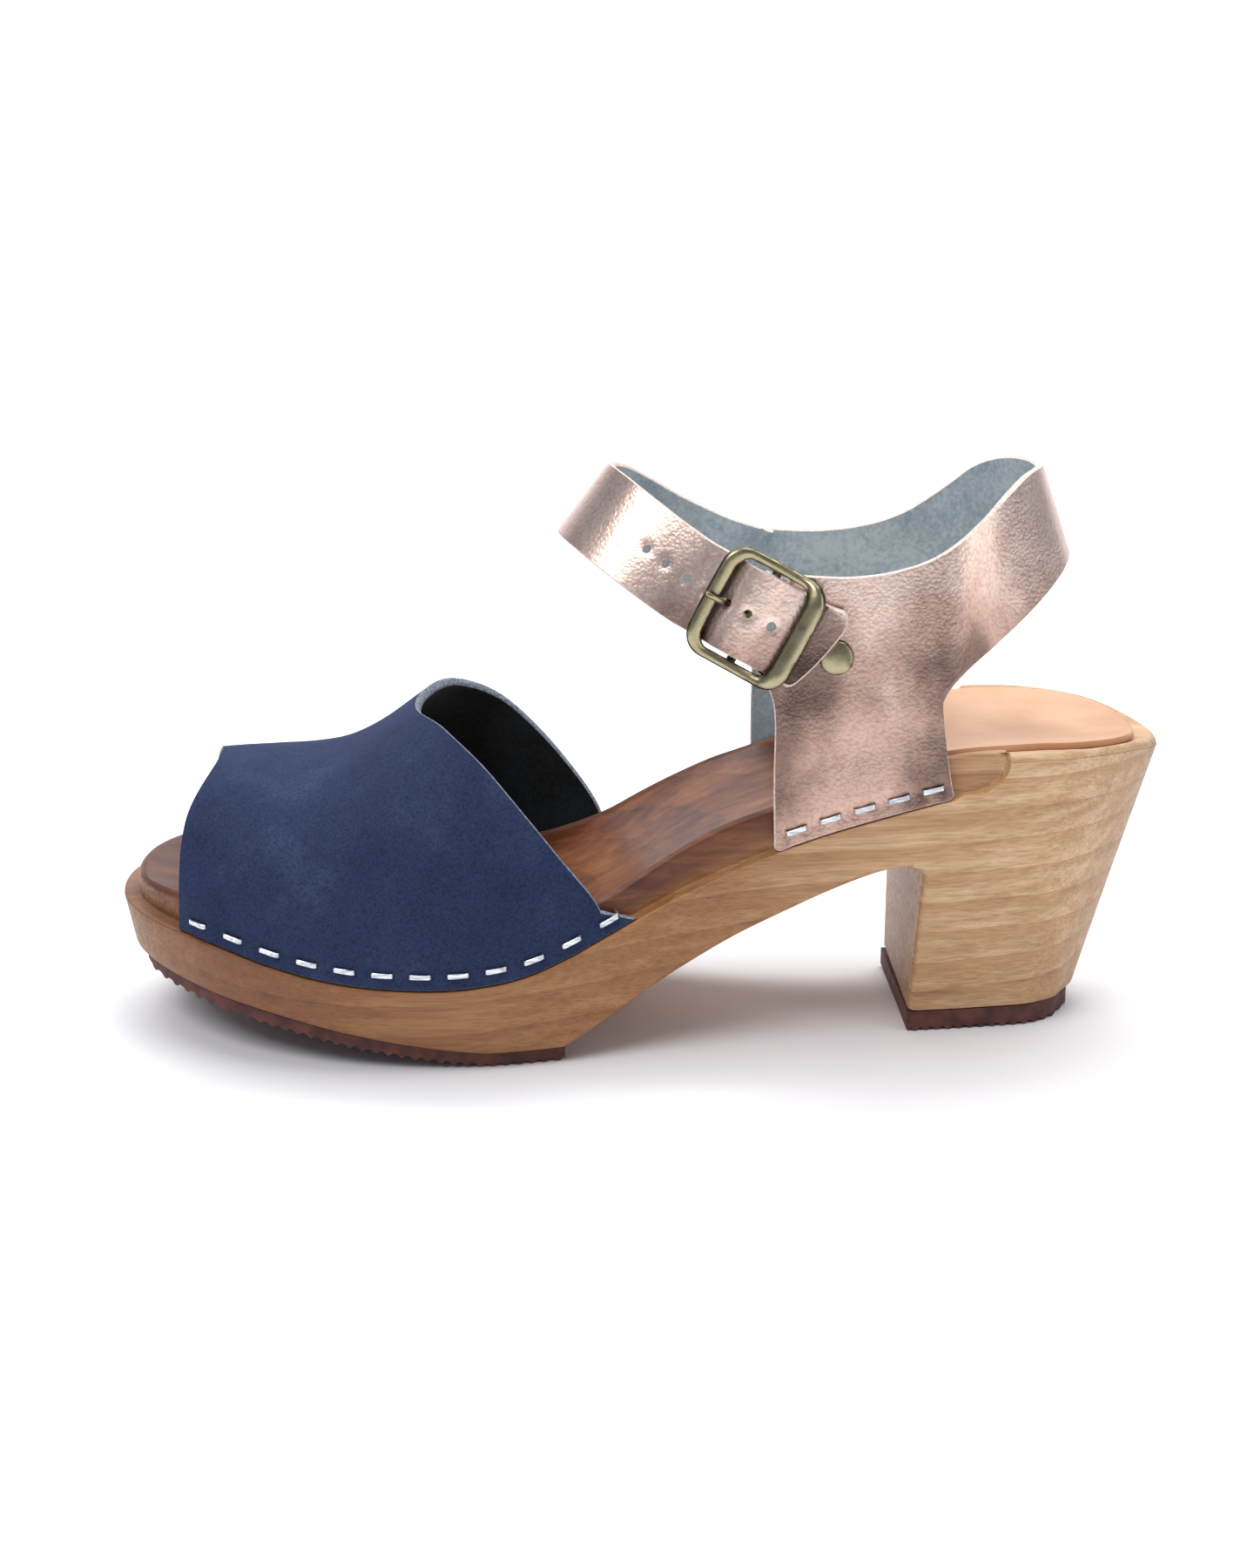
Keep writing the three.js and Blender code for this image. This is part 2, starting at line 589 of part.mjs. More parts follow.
// Rows of points down each ruling [top, bottom, waist]; a ruling without a waist is straight.
function rulingGrid(rulings, rows) {
  return rulings.map(([top, bottom, waist]) => {
    const middle = waist ?? top.clone().lerp(bottom, 0.5);
    return Array.from({ length: rows + 1 }, (_, j) => {
      const f = (2 * j) / rows;
      return f < 1 ? top.clone().lerp(middle, f) : middle.clone().lerp(bottom, f - 1);
    });
  });
}
function ankleLeatherBody() {
  const heel = heelRulings(10);
  const lateral = [...heel, ...quarterRulings(-1), ...shoulderRulings((p) => p, foldRise)];
  const medial = [...heel.slice(1).map(([t, b]) => [mirrored(t), mirrored(b)]), ...quarterRulings(1),
    ...shoulderRulings(mirrored, 0)];
  const fold = foldRulings();
  const rulings = [...fold.reverse(), ...lateral.reverse(), ...medial];
  const thinned = (i) => i >= 4 && i <= fold.length;
  return leather(rulingGrid(rulings, 6), (i) => (thinned(i) ? foldThickness : strapThickness));
}

// ---------------------------------------------------------------- front strap
const hingeGap = 2.4; // bare length of leather that bends where the strap leaves the quarter
const strapSplit = -15.2; // along a: the strap forward of here hangs free of the buckle
// Punched holes lie on the strap's middle line; the prong stands in the one at prongHole.
const prongHole = -7.4;
const tipHoles = [1, 2].map((i) => prongHole + i * holePitch);
const freeHoles = [2, 3, 4].map((i) => strapSplit - (prongHole - i * holePitch));
function punch() {
  const g = new THREE.CylinderGeometry(holeRadius, holeRadius, 6 * strapThickness, 10);
  g.rotateX(Math.PI / 2);
  return g;
}
function frontStrap() {
  // Centre line of the strap and its direction across, from the buckle side round the front.
  const start = local(strapSplit, 0, -strapThickness * 0.4);
  const centres = [start, at(5.6, -24, 113.6), at(-2, -19.4, 118.9), at(-9.4, -11.4, 123.7),
    at(-13.4, 0, 125.6)];
  const downs = [axisB.clone().negate(), V(-9.7, -2.8, -17.7), V(-11.3, -3.4, -16.5),
    V(-12.2, -2, -15.9), V(-11.8, 0, -15.6)].map((d) => d.normalize());
  const hinge = mirrored(local(shoulderEnd - hingeGap, 0, 0));
  const hingeDown = mirrored(axisB.clone().negate());
  const back = [1, 2, 3].map((i) => mirrored(centres[4 - i]));
  const backDowns = [1, 2, 3].map((i) => mirrored(downs[4 - i]));
  const extra = mirrored(local(strapSplit, 0, -strapThickness * 0.2));
  const centreCurve = new THREE.CatmullRomCurve3([...centres, ...back, extra, hinge]);
  const downCurve = new THREE.CatmullRomCurve3([...downs, ...backDowns, hingeDown.clone(), hingeDown]);
  const count = 30;
  const rulings = Array.from({ length: count + 1 }, (_, i) => {
    const f = i / count;
    const c = centreCurve.getPoint(f);
    const d = downCurve.getPoint(f).normalize();
    return [c.clone().addScaledVector(d, -halfStrap), c.clone().addScaledVector(d, halfStrap)];
  });
  const holes = freeHoles.map((distance) => {
    const f = distance / centreCurve.getLength();
    const along = centreCurve.getTangentAt(f);
    const down = downs[0];
    const matrix = basis(along, down, along.clone().cross(down), centreCurve.getPointAt(f));
    return punch().applyMatrix4(matrix);
  });
  return cut(leather(rulingGrid(rulings.reverse(), 4), () => strapThickness), holes);
}

// Height of the threaded end's outer face above the quarter: under, over, under the bars.
const threadedFace = curve([[-16, -0.7], [-13.5, -0.4], [-11, 0.6], [-8.4, 1.4], [-5.6, 3.4],
  [-1, 3.7], [3, 3.3], [7.5, 2.9], [11, 2.7], [14.5, 3.2], [21, 4.1]]);
function strapEndBody() {
  const start = strapSplit + 2 * clearance;
  const stops = [-13.4, -11.8, -10.4, -9, -7.6, -6.2, -4.6, -2.4, 0, 3, 6, 9, 11.4];
  const face = (a, b) => local(a, b, threadedFace(a));
  const rulings = [start, ...stops].map((a) => [face(a, halfStrap), face(a, -halfStrap)]);
  for (const [a, b] of [[14, 12.8], [16.8, 13.6], [18.6, 14.2]]) {
    rulings.push([face(a, halfStrap), face(b, -halfStrap)]);
  }
  return leather(rulingGrid(rulings, 4), () => strapThickness);
}
function tipHole(a) {
  const g = punch();
  g.translate(a, 0, threadedFace(a));
  g.applyMatrix4(buckleMatrix);
  return g;
}

// ---------------------------------------------------------------- buckle, prong, rivet
const frontBarN = threadedFace(-buckleLength / 2) + clearance + frontBarRadius;
const rearBarN = threadedFace(buckleLength / 2) + clearance + rearBarRadius;
function railHeight(a) {
  const f = a / buckleLength + 0.5;
  const dip = buckleBow * (1 - (2 * f - 1) ** 2);
  return lerp(frontBarN, rearBarN, f) - dip;
}
function buckleFrame() {
  const corner = 4.2;
  const la = buckleLength / 2;
  const lb = buckleWidth / 2;
  const points = [];
  const arc = (ca, cb, from) => {
    for (let i = 0; i <= 4; i += 1) {
      const q = from + (Math.PI / 2) * (i / 4);
      points.push([ca + corner * Math.cos(q), cb + corner * Math.sin(q)]);
    }
  };
  arc(la - corner, lb - corner, 0);
  points.push([0, lb]);
  arc(-la + corner, lb - corner, Math.PI / 2);
  points.push([-la, 0]);
  arc(-la + corner, -lb + corner, Math.PI);
  points.push([0, -lb]);
  arc(la - corner, -lb + corner, 1.5 * Math.PI);
  points.push([la, 0]);
  const path = points.map(([a, b]) => V(a, b, railHeight(a)));
  const radius = (i) => {
    const endness = smooth(Math.abs(points[i][0]), la * 0.55, la);
    return lerp(railRadius, points[i][0] < 0 ? frontBarRadius : rearBarRadius, endness);
  };
  const loop = tube(path, radius, 8, true);
  const bar = new THREE.CylinderGeometry(centreBarRadius, centreBarRadius, buckleWidth, 10);
  bar.translate(0, 0, centreBarN);
  const lugs = [-1, 1].map((s) => {
    const h = railHeight(0) - centreBarN + centreBarRadius;
    const lug = box(2.4, railRadius * 1.8, h);
    lug.translate(0, s * lb, (railHeight(0) + centreBarN - centreBarRadius) / 2);
    return lug;
  });
  const g = join([loop, bar, ...lugs]);
  g.applyMatrix4(buckleMatrix);
  return g;
}
function prongPath(extra) {
  const tipN = frontBarN + frontBarRadius + clearance + prongRadius;
  const reach = -prongLength - extra;
  const line = new THREE.CatmullRomCurve3([V(-1.9, 0, centreBarN + 0.1), V(-4.2, 0, -0.6),
    V(prongHole + 0.2, 0, 1.3), V(-9, 0, tipN - 0.9), V(-11, 0, tipN + 0.1), V(reach, 0, tipN)]);
  return line.getPoints(16);
}
function prong() {
  const eyeRadius = centreBarRadius + clearance;
  const profile = [[eyeRadius, -1.2], [eyeRadius + 1.1, -1.2], [eyeRadius + 1.1, 1.2], [eyeRadius, 1.2],
    [eyeRadius, -1.2]].map(([r, y]) => new THREE.Vector2(r, y));
  const eye = new THREE.LatheGeometry(profile, 16);
  eye.translate(0, 0, centreBarN);
  const wire = tube(prongPath(0), () => prongRadius, 8, false);
  const g = join([eye, wire]);
  g.applyMatrix4(buckleMatrix);
  return g;
}
function prongClearance(extraRadius) {
  const wire = tube(prongPath(4), () => prongRadius + extraRadius, 8, false);
  wire.applyMatrix4(buckleMatrix);
  return wire;
}
// Slot in the folded leather for the prong's eye.
function eyeSlot() {
  const slot = box(12.4, 3.4, 9.4);
  slot.translate(-0.6, 0, centreBarN + 0.6);
  slot.applyMatrix4(buckleMatrix);
  return slot;
}
const rivetStack = 2 * strapThickness + clearance;
const burrThickness = 0.9;
const rivetMatrix = basis(axisA, axisN.clone(), axisB.clone().negate(), local(rivetFromBar, 0.4, 0));
function rivet() {
  const r = rivetHeadRadius;
  const end = -(rivetStack + 2 * clearance + burrThickness);
  const profile = [[0, rivetHeadHeight + clearance], [r * 0.5, rivetHeadHeight * 0.85 + clearance],
    [r * 0.86, rivetHeadHeight * 0.5 + clearance], [r, clearance + 0.1], [r * 0.97, clearance],
    [rivetShankRadius, clearance], [rivetShankRadius, end - clearance],
    [rivetShankRadius + 0.9, end - clearance], [rivetShankRadius + 0.6, end - 0.9], [0, end - 1.1]];
  const g = new THREE.LatheGeometry(profile.map(([x, y]) => new THREE.Vector2(x, y)).reverse(), 20);
  g.applyMatrix4(rivetMatrix);
  return g;
}
function rivetBurr() {
  const hole = rivetShankRadius + clearance;
  const top = -(rivetStack + clearance);
  const bottom = top - burrThickness;
  const profile = [[hole, bottom], [3.5, bottom], [3.5, top], [hole, top], [hole, bottom]];
  const g = new THREE.LatheGeometry(profile.map(([x, y]) => new THREE.Vector2(x, y)), 16);
  g.applyMatrix4(rivetMatrix);
  return g;
}
function rivetHole() {
  const r = rivetShankRadius + clearance;
  const g = new THREE.CylinderGeometry(r, r, 4 * rivetStack, 12);
  g.applyMatrix4(rivetMatrix);
  return g;
}

// ---------------------------------------------------------------- staples
// Frame of a staple on a leather wall: x along the edge, y outwards, z up.
function stapleFrame(side, x, thickness) {
  const height = (xx) => ledgeHeight(xx) + clearance + stapleRise;
  const point = (xx) => V(xx, edgeY(side, xx, leatherReveal, (q) => ledgeHeight(q) + clearance), height(xx));
  const p = point(x);
  const along = point(x + 1).sub(point(x - 1)).normalize();
  const out = V(0, 0, 1).cross(along).multiplyScalar(side > 0 ? 1 : -1).normalize();
  return basis(along, out, along.clone().cross(out), p.addScaledVector(out, thickness));
}
const stapleLift = 0.15;
function stapleParts(extra) {
  const crown = box(stapleLength + extra, stapleGauge, stapleWidth + extra);
  crown.translate(0, stapleGauge / 2 + stapleLift, 0);
  const legs = [-1, 1].map((s) => {
    const leg = box(stapleGauge + extra, stapleLeg + extra, stapleWidth + extra);
    const depth = stapleGauge + stapleLift - (stapleLeg + extra) / 2;
    leg.translate(s * (stapleLength - stapleGauge) * 0.5, depth, 0);
    return leg;
  });
  return { crown, legs };
}
function spread(from, to, count) {
  return Array.from({ length: count }, (_, i) => lerp(from, to, count > 1 ? i / (count - 1) : 0.5));
}
const staplePlaces = [];
for (const [name, side] of [['lateral', -1], ['medial', 1]]) {
  spread(vampFrontX(0) + 5.2 * kx, vampRearX(0) - 6.4 * kx, vampStapleCount).forEach((x, i) => {
    staplePlaces.push({ name: `vamp_staple_${name}_${i + 1}`, side, x, leather: 'vamp' });
  });
  spread(quarterFrontX + 5 * kx, quarterRearX - 5 * kx, quarterStapleCount).forEach((x, i) => {
    staplePlaces.push({ name: `strap_staple_${name}_${i + 1}`, side, x, leather: 'strap' });
  });
}
const legGap = 0.6;
function legCutters(which) {
  return staplePlaces.filter((s) => which === 'all' || s.leather === which).flatMap((s) => {
    const m = stapleFrame(s.side, s.x, 0);
    return stapleParts(legGap).legs.map((leg) => leg.applyMatrix4(m));
  });
}

// ---------------------------------------------------------------- finishes
const finish = (colour, roughness, metalness = 0) => new THREE.MeshStandardMaterial({
  color: colour, roughness, metalness,
});
const wood = finish('#b08a62', 0.55);
const rubber = finish('#6b3b33', 0.8);
const navyNubuck = finish('#2f3a5c', 0.95);
const roseGold = finish('#d3aa98', 0.32, 0.75);
const vegTan = finish('#ddb08c', 0.65);
const brass = finish('#6b6350', 0.38, 1);
const steel = finish('#c9ccd0', 0.3, 1);

// ---------------------------------------------------------------- assembly
const clog = new THREE.Group();
clog.name = 'wooden_clog';
function add(name, geometry, material, parent = clog) {
  const mesh = new THREE.Mesh(geometry, material);
  mesh.name = name;
  parent.add(mesh);
  return mesh;
}

const soleBlank = join([platform(), heelSolid([[topPieceGap, 0.02], [20 * kz, 0.02], [48 * kz, 0.02]])]);
add('sole', cut(soleBlank, legCutters('all')), wood);
add('forefoot_outsole', forefootOutsole(), rubber);
add('heel_top_piece', heelTopPiece(), rubber);
add('heel_pad', heelPad(), vegTan);
add('vamp', cut(vamp(), legCutters('vamp')), navyNubuck);
add('ankle_leather', cut(ankleLeatherBody(), [...legCutters('strap'), eyeSlot(), rivetHole()]), roseGold);
add('front_strap', frontStrap(), roseGold);
const endCuts = [prongClearance(clearance), ...tipHoles.map(tipHole)];
add('strap_end', cut(strapEndBody(), endCuts), roseGold);
add('buckle_frame', buckleFrame(), brass);
add('buckle_prong', prong(), brass);
add('strap_rivet', rivet(), brass);
add('rivet_burr', rivetBurr(), brass);
for (const s of staplePlaces) {
  const { crown, legs } = stapleParts(0);
  const g = join([crown, ...legs]);
  g.applyMatrix4(stapleFrame(s.side, s.x, 0));
  add(s.name, g, steel);
}

// The origin is on the floor, under the middle of the clog's outline.
const bounds = new THREE.Box3().setFromObject(clog);
clog.position.set(-(bounds.min.x + bounds.max.x) / 2, -(bounds.min.y + bounds.max.y) / 2, 0);

export default clog;
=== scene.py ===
"""Open-toe wooden clog: carved sole, stapled nubuck vamp, foil-leather heel strap, buckled front strap."""
import math

import bmesh
import bpy
import numpy as np
from mathutils import Matrix, Vector


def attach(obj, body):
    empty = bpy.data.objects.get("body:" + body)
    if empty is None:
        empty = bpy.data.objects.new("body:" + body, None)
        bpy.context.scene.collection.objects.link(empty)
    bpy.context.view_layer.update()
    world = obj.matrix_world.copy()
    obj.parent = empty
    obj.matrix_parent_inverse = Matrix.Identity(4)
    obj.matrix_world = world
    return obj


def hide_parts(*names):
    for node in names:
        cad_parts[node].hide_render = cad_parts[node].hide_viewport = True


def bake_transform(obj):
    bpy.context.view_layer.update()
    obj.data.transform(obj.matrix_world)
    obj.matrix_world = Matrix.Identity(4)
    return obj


bl_info = {
    "name": "Wooden clog",
    "version": (1, 0, 0),
    "blender": (4, 5, 0),
    "location": "View3D > Sidebar > Clog",
    "description": "Builds the finished pieces of an open-toe wooden clog round its packed frame",
    "category": "Object",
}

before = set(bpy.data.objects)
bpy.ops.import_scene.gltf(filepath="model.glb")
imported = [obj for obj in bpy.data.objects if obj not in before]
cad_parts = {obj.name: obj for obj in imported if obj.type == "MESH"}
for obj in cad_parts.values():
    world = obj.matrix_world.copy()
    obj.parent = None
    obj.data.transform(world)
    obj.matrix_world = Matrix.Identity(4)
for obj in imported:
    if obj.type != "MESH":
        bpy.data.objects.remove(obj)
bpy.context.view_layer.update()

# The drawing below is in millimetres, toe towards -X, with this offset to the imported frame.
MM = 0.001
DRAWING_OFFSET = np.array([0.4155, 0.0646, 0.0])
UP = np.array([0.0, 0.0, 1.0])


# ------------------------------------------------------------------ colours and nodes
def linear(hex_colour):
    """sRGB hex to the linear colour that shaders use."""
    parts = [int(hex_colour[i:i + 2], 16) / 255 for i in (1, 3, 5)]
    return tuple(p / 12.92 if p <= 0.04045 else ((p + 0.055) / 1.055) ** 2.4 for p in parts) + (1.0,)


def add_node(tree, kind, inputs=None, **settings):
    """Add a node with its settings; inputs are set to values or linked to sockets."""
    made = tree.nodes.new(kind)
    for name, value in settings.items():
        setattr(made, name, value)
    for key, value in (inputs or {}).items():
        if isinstance(value, bpy.types.NodeSocket):
            tree.links.new(value, made.inputs[key])
        else:
            made.inputs[key].default_value = value
    return made


def start_material(name, **shader_inputs):
    """New material with a principled shader whose constants are set on its own sockets."""
    material = bpy.data.materials.new(name)
    material.use_nodes = True
    tree = material.node_tree
    tree.nodes.clear()
    shader = add_node(tree, "ShaderNodeBsdfPrincipled", shader_inputs)
    add_node(tree, "ShaderNodeOutputMaterial", {"Surface": shader.outputs[0]})
    return material, tree, shader


def stretched(tree, scale, turn=(0.0, 0.0, 0.0)):
    """Object coordinates scaled by the given counts per metre."""
    place = add_node(tree, "ShaderNodeTexCoord")
    return add_node(tree, "ShaderNodeMapping", {"Vector": place.outputs["Object"], "Scale": scale,
                                                "Rotation": turn}).outputs[0]


def noise(tree, vector, scale=1.0, detail=3.0, roughness=0.5, distortion=0.0):
    return add_node(tree, "ShaderNodeTexNoise", {
        "Vector": vector, "Scale": scale, "Detail": detail, "Roughness": roughness,
        "Distortion": distortion}).outputs["Fac"]


def math_node(tree, operation, a, b=0.0, c=0.0):
    return add_node(tree, "ShaderNodeMath", {0: a, 1: b, 2: c}, operation=operation).outputs[0]


def ramp(tree, value, stops, interpolation="EASE"):
    """Colour ramp; stops are (position, hex colour)."""
    made = add_node(tree, "ShaderNodeValToRGB", {"Fac": value})
    elements = made.color_ramp.elements
    made.color_ramp.interpolation = interpolation
    while len(elements) < len(stops):
        elements.new(0.5)
    for element, (position, colour) in zip(elements, stops):
        element.position = position
        element.color = linear(colour)
    return made.outputs["Color"]


def scale_range(tree, value, low, high, from_low=0.0, from_high=1.0):
    return add_node(tree, "ShaderNodeMapRange", {
        "Value": value, "From Min": from_low, "From Max": from_high, "To Min": low,
        "To Max": high}).outputs["Result"]


def mix(tree, factor, a, b, blend="MIX"):
    made = add_node(tree, "ShaderNodeMix", data_type="RGBA", blend_type=blend)
    for key, value in ((0, factor), (6, a), (7, b)):
        if isinstance(value, bpy.types.NodeSocket):
            tree.links.new(value, made.inputs[key])
        else:
            made.inputs[key].default_value = value
    return made.outputs[2]


def bump(tree, height, depth_mm, shader, strength=1.0, under=None):
    """Relief of the given depth; height runs 0..1. under is an earlier bump's output."""
    inputs = {"Height": height, "Distance": depth_mm * MM, "Strength": strength}
    if under is not None:
        inputs["Normal"] = under
    made = add_node(tree, "ShaderNodeBump", inputs)
    tree.links.new(made.outputs[0], shader.inputs["Normal"])
    return made.outputs[0]


def attribute(tree, name):
    return add_node(tree, "ShaderNodeAttribute", attribute_name=name).outputs["Fac"]


# ------------------------------------------------------------------ drawing helpers
def curve(points, kx=1.0, kv=1.0):
    """Smooth function through (x, value) points: a cubic with averaged slopes."""
    xs = np.array([p[0] for p in points], float) * kx
    vs = np.array([p[1] for p in points], float) * kv
    count = len(xs)
    before = np.maximum(np.arange(count) - 1, 0)
    after = np.minimum(np.arange(count) + 1, count - 1)
    slope = (vs[after] - vs[before]) / (xs[after] - xs[before])

    def value(x):
        x = np.asarray(x, float)
        i = np.clip(np.searchsorted(xs, x) - 1, 0, count - 2)
        h = xs[i + 1] - xs[i]
        t = np.clip((x - xs[i]) / h, 0, 1)
        start = (1 + 2 * t) * (1 - t) ** 2 * vs[i] + t * (1 - t) ** 2 * h * slope[i]
        return start + t * t * (3 - 2 * t) * vs[i + 1] + t * t * (t - 1) * h * slope[i + 1]
    return value


def lerp(a, b, f):
    return a + (b - a) * f


def smoothstep(x, low, high):
    t = np.clip((np.asarray(x, float) - low) / (high - low), 0, 1)
    return t * t * (3 - 2 * t)


def unit(v):
    return v / (np.linalg.norm(v, axis=-1, keepdims=True) + 1e-12)


def through(points, steps):
    """Rows on a smooth surface through the given rows; sharp turns stay sharp.

    points is (rows, across, values); steps[i] is the number of new rows in span i."""
    p = np.asarray(points, float)
    chord = p[1:] - p[:-1]
    length = np.linalg.norm(chord[..., :3], axis=-1, keepdims=True) + 1e-9
    along = chord / length
    slope = np.concatenate([along[:1], along[:1] * 0, along[-1:]])[[0] + [1] * (len(p) - 2) + [2]]
    heading = unit(chord[..., :3])
    turn = np.sum(heading[1:] * heading[:-1], axis=-1, keepdims=True)
    keep = np.clip((turn - 0.2) / 0.5, 0, 1)
    mean = (along[:-1] * length[1:] + along[1:] * length[:-1]) / (length[1:] + length[:-1])
    slope[1:-1] = mean * keep
    rows = []
    for i, count in enumerate(steps):
        for t in np.arange(count) / count:
            start = (1 + 2 * t) * (1 - t) ** 2 * p[i] + t * (1 - t) ** 2 * length[i] * slope[i]
            end = t * t * (3 - 2 * t) * p[i + 1] + t * t * (t - 1) * length[i] * slope[i + 1]
            rows.append(start + end)
    rows.append(p[-1])
    return np.array(rows)


def steps_for(points, spacing):
    """Steps in each span so that no row is further than spacing from the next."""
    p = np.asarray(points, float)[..., :3]
    longest = np.linalg.norm(p[1:] - p[:-1], axis=-1).reshape(len(p) - 1, -1).max(axis=1)
    return np.maximum(np.ceil(longest / spacing).astype(int), 1)


# ------------------------------------------------------------------ meshes
def make_object(name, vertices, faces, materials, face_slots=None, crease_degrees=38.0):
    """Object from millimetre points of the drawing; edges sharper than the crease stay sharp."""
    mesh = bpy.data.meshes.new(name)
    placed = (np.asarray(vertices, float).reshape(-1, 3) + DRAWING_OFFSET) * MM
    mesh.from_pydata(placed.tolist(), [], [list(map(int, f)) for f in faces])
    for material in materials:
        mesh.materials.append(material)
    if face_slots is not None:
        mesh.polygons.foreach_set("material_index", np.asarray(face_slots, dtype=np.int32))
    mesh.update()
    made = bpy.data.objects.new(name, mesh)
    bpy.context.scene.collection.objects.link(made)
    smooth(made, crease_degrees)
    return made


def smooth(made, crease_degrees):
    mesh = made.data
    mesh.polygons.foreach_set("use_smooth", [True] * len(mesh.polygons))
    mesh.set_sharp_from_angle(angle=math.radians(crease_degrees))
    mesh.update()


def combine(piece, others, operation="UNION", crease_degrees=38.0):
    """Join others to piece, or cut them out of it, as one plain mesh."""
    for other in others:
        modifier = piece.modifiers.new("shape", "BOOLEAN")
        modifier.operation = operation
        modifier.solver = "EXACT"
        modifier.material_mode = "TRANSFER"
        modifier.object = other
    bake(piece)
    for other in others:
        mesh = other.data
        bpy.data.objects.remove(other)
        bpy.data.meshes.remove(mesh)
    smooth(piece, crease_degrees)
    return piece


def bake(piece):
    """Turn the modifiers' result into the piece's own plain mesh."""
    bpy.context.view_layer.update()
    evaluated = piece.evaluated_get(bpy.context.evaluated_depsgraph_get())
    mesh = bpy.data.meshes.new_from_object(evaluated)
    old = piece.data
    piece.modifiers.clear()
    piece.data = mesh
    mesh.name = piece.name
    bpy.data.meshes.remove(old)


def grid_faces(rows, columns, first=0, flip=False):
    i, j = np.meshgrid(np.arange(rows - 1), np.arange(columns - 1), indexing="ij")
    a = first + i * columns + j
    quads = np.stack([a, a + 1, a + columns + 1, a + columns], axis=-1).reshape(-1, 4)
    return quads[:, ::-1] if flip else quads


def border(rows, columns):
    """Indices of a grid's border, once round."""
    top = [(0, j) for j in range(columns)]
    right = [(i, columns - 1) for i in range(1, rows)]
    bottom = [(rows - 1, j) for j in range(columns - 2, -1, -1)]
    left = [(i, 0) for i in range(rows - 2, 0, -1)]
    return np.array(top + right + bottom + left)


def grid_normals(grid):
    """Normals at a grid's points, from the faces round each."""
    face = np.cross(grid[1:, 1:] - grid[:-1, :-1], grid[1:, :-1] - grid[:-1, 1:])
    total = np.zeros_like(grid)
    rows, columns = face.shape[:2]
    for i in (0, 1):
        for j in (0, 1):
            total[i:i + rows, j:j + columns] += face
    return unit(total)


def leather_sheet(name, grid, thickness, materials, softness=0.3, square_start=False, square_end=False,
                  normals=None):
    """Closed sheet of leather from a grid on its outer face.

    Its cut edges are a little rounded. A square end is one that meets another piece flush.
    materials are those of the outer face, the inner face and the cut edge."""
    rows, columns = grid.shape[:2]
    depth = np.broadcast_to(np.asarray(thickness, float).reshape(-1, 1, 1), (rows, 1, 1))
    if normals is None:
        normals = grid_normals(grid)
    ring = border(rows, columns)
    i, j = ring[:, 0], ring[:, 1]
    away = np.zeros((rows, columns, 3))
    line = grid[i, j]
    heading = np.roll(line, -1, axis=0) - np.roll(line, 1, axis=0)
    away[i, j] = unit(np.cross(heading, normals[i, j]))
    if square_start:
        away[0] = 0
    if square_end:
        away[-1] = 0
    outer = grid - away * softness
    inner = outer - normals * depth
    profile = [0.12, 0.35, 0.65, 0.88]
    strips = [outer[i, j]]
    for s in profile:
        bulge = softness * (1 - abs(2 * s - 1) ** 4)
        strips.append((outer - normals * depth * s + away * bulge)[i, j])
    strips.append(inner[i, j])
    count = rows * columns
    vertices = np.concatenate([outer.reshape(-1, 3), inner.reshape(-1, 3)] + strips[1:-1])
    lines = [i * columns + j]
    for k in range(len(profile)):
        lines.append(2 * count + k * len(ring) + np.arange(len(ring)))
    lines.append(count + i * columns + j)
    edge_faces = []
    for upper, lower in zip(lines[:-1], lines[1:]):
        edge_faces.append(np.stack([upper, np.roll(upper, -1), np.roll(lower, -1), lower], axis=-1)[:, ::-1])
    face_groups = [grid_faces(rows, columns), grid_faces(rows, columns, count, flip=True), *edge_faces]
    faces = np.concatenate(face_groups)
    slots = np.concatenate([np.full(len(g), min(k, 2)) for k, g in enumerate(face_groups)])
    made = make_object(name, vertices, faces, materials, slots, crease_degrees=50)
    face_outwards(made)
    return made


def ring_faces(count, n):
    """Quads between a stack of rings of n points each."""
    i = np.arange(n)
    j = (i + 1) % n
    faces = []
    for r in range(count - 1):
        faces += np.stack([r * n + i, r * n + j, (r + 1) * n + j, (r + 1) * n + i], axis=-1).tolist()
    return faces


def stacked_rings(name, rings, materials, crease_degrees=38.0):
    """Closed solid from rings of equal length, each end closed by rows across."""
    rings = np.asarray(rings, float)
    count, n = rings.shape[:2]
    half = n // 2
    faces = ring_faces(count, n)
    last = (count - 1) * n
    for i in range(1, half - 1):
        faces.append([i, n - i, n - i - 1, i + 1])
        faces.append([last + i, last + i + 1, last + n - i - 1, last + n - i])
    faces += [[0, n - 1, 1], [last, last + 1, last + n - 1]]
    faces += [[half - 1, half + 1, half], [last + half - 1, last + half, last + half + 1]]
    return make_object(name, rings.reshape(-1, 3), faces, materials, crease_degrees=crease_degrees)


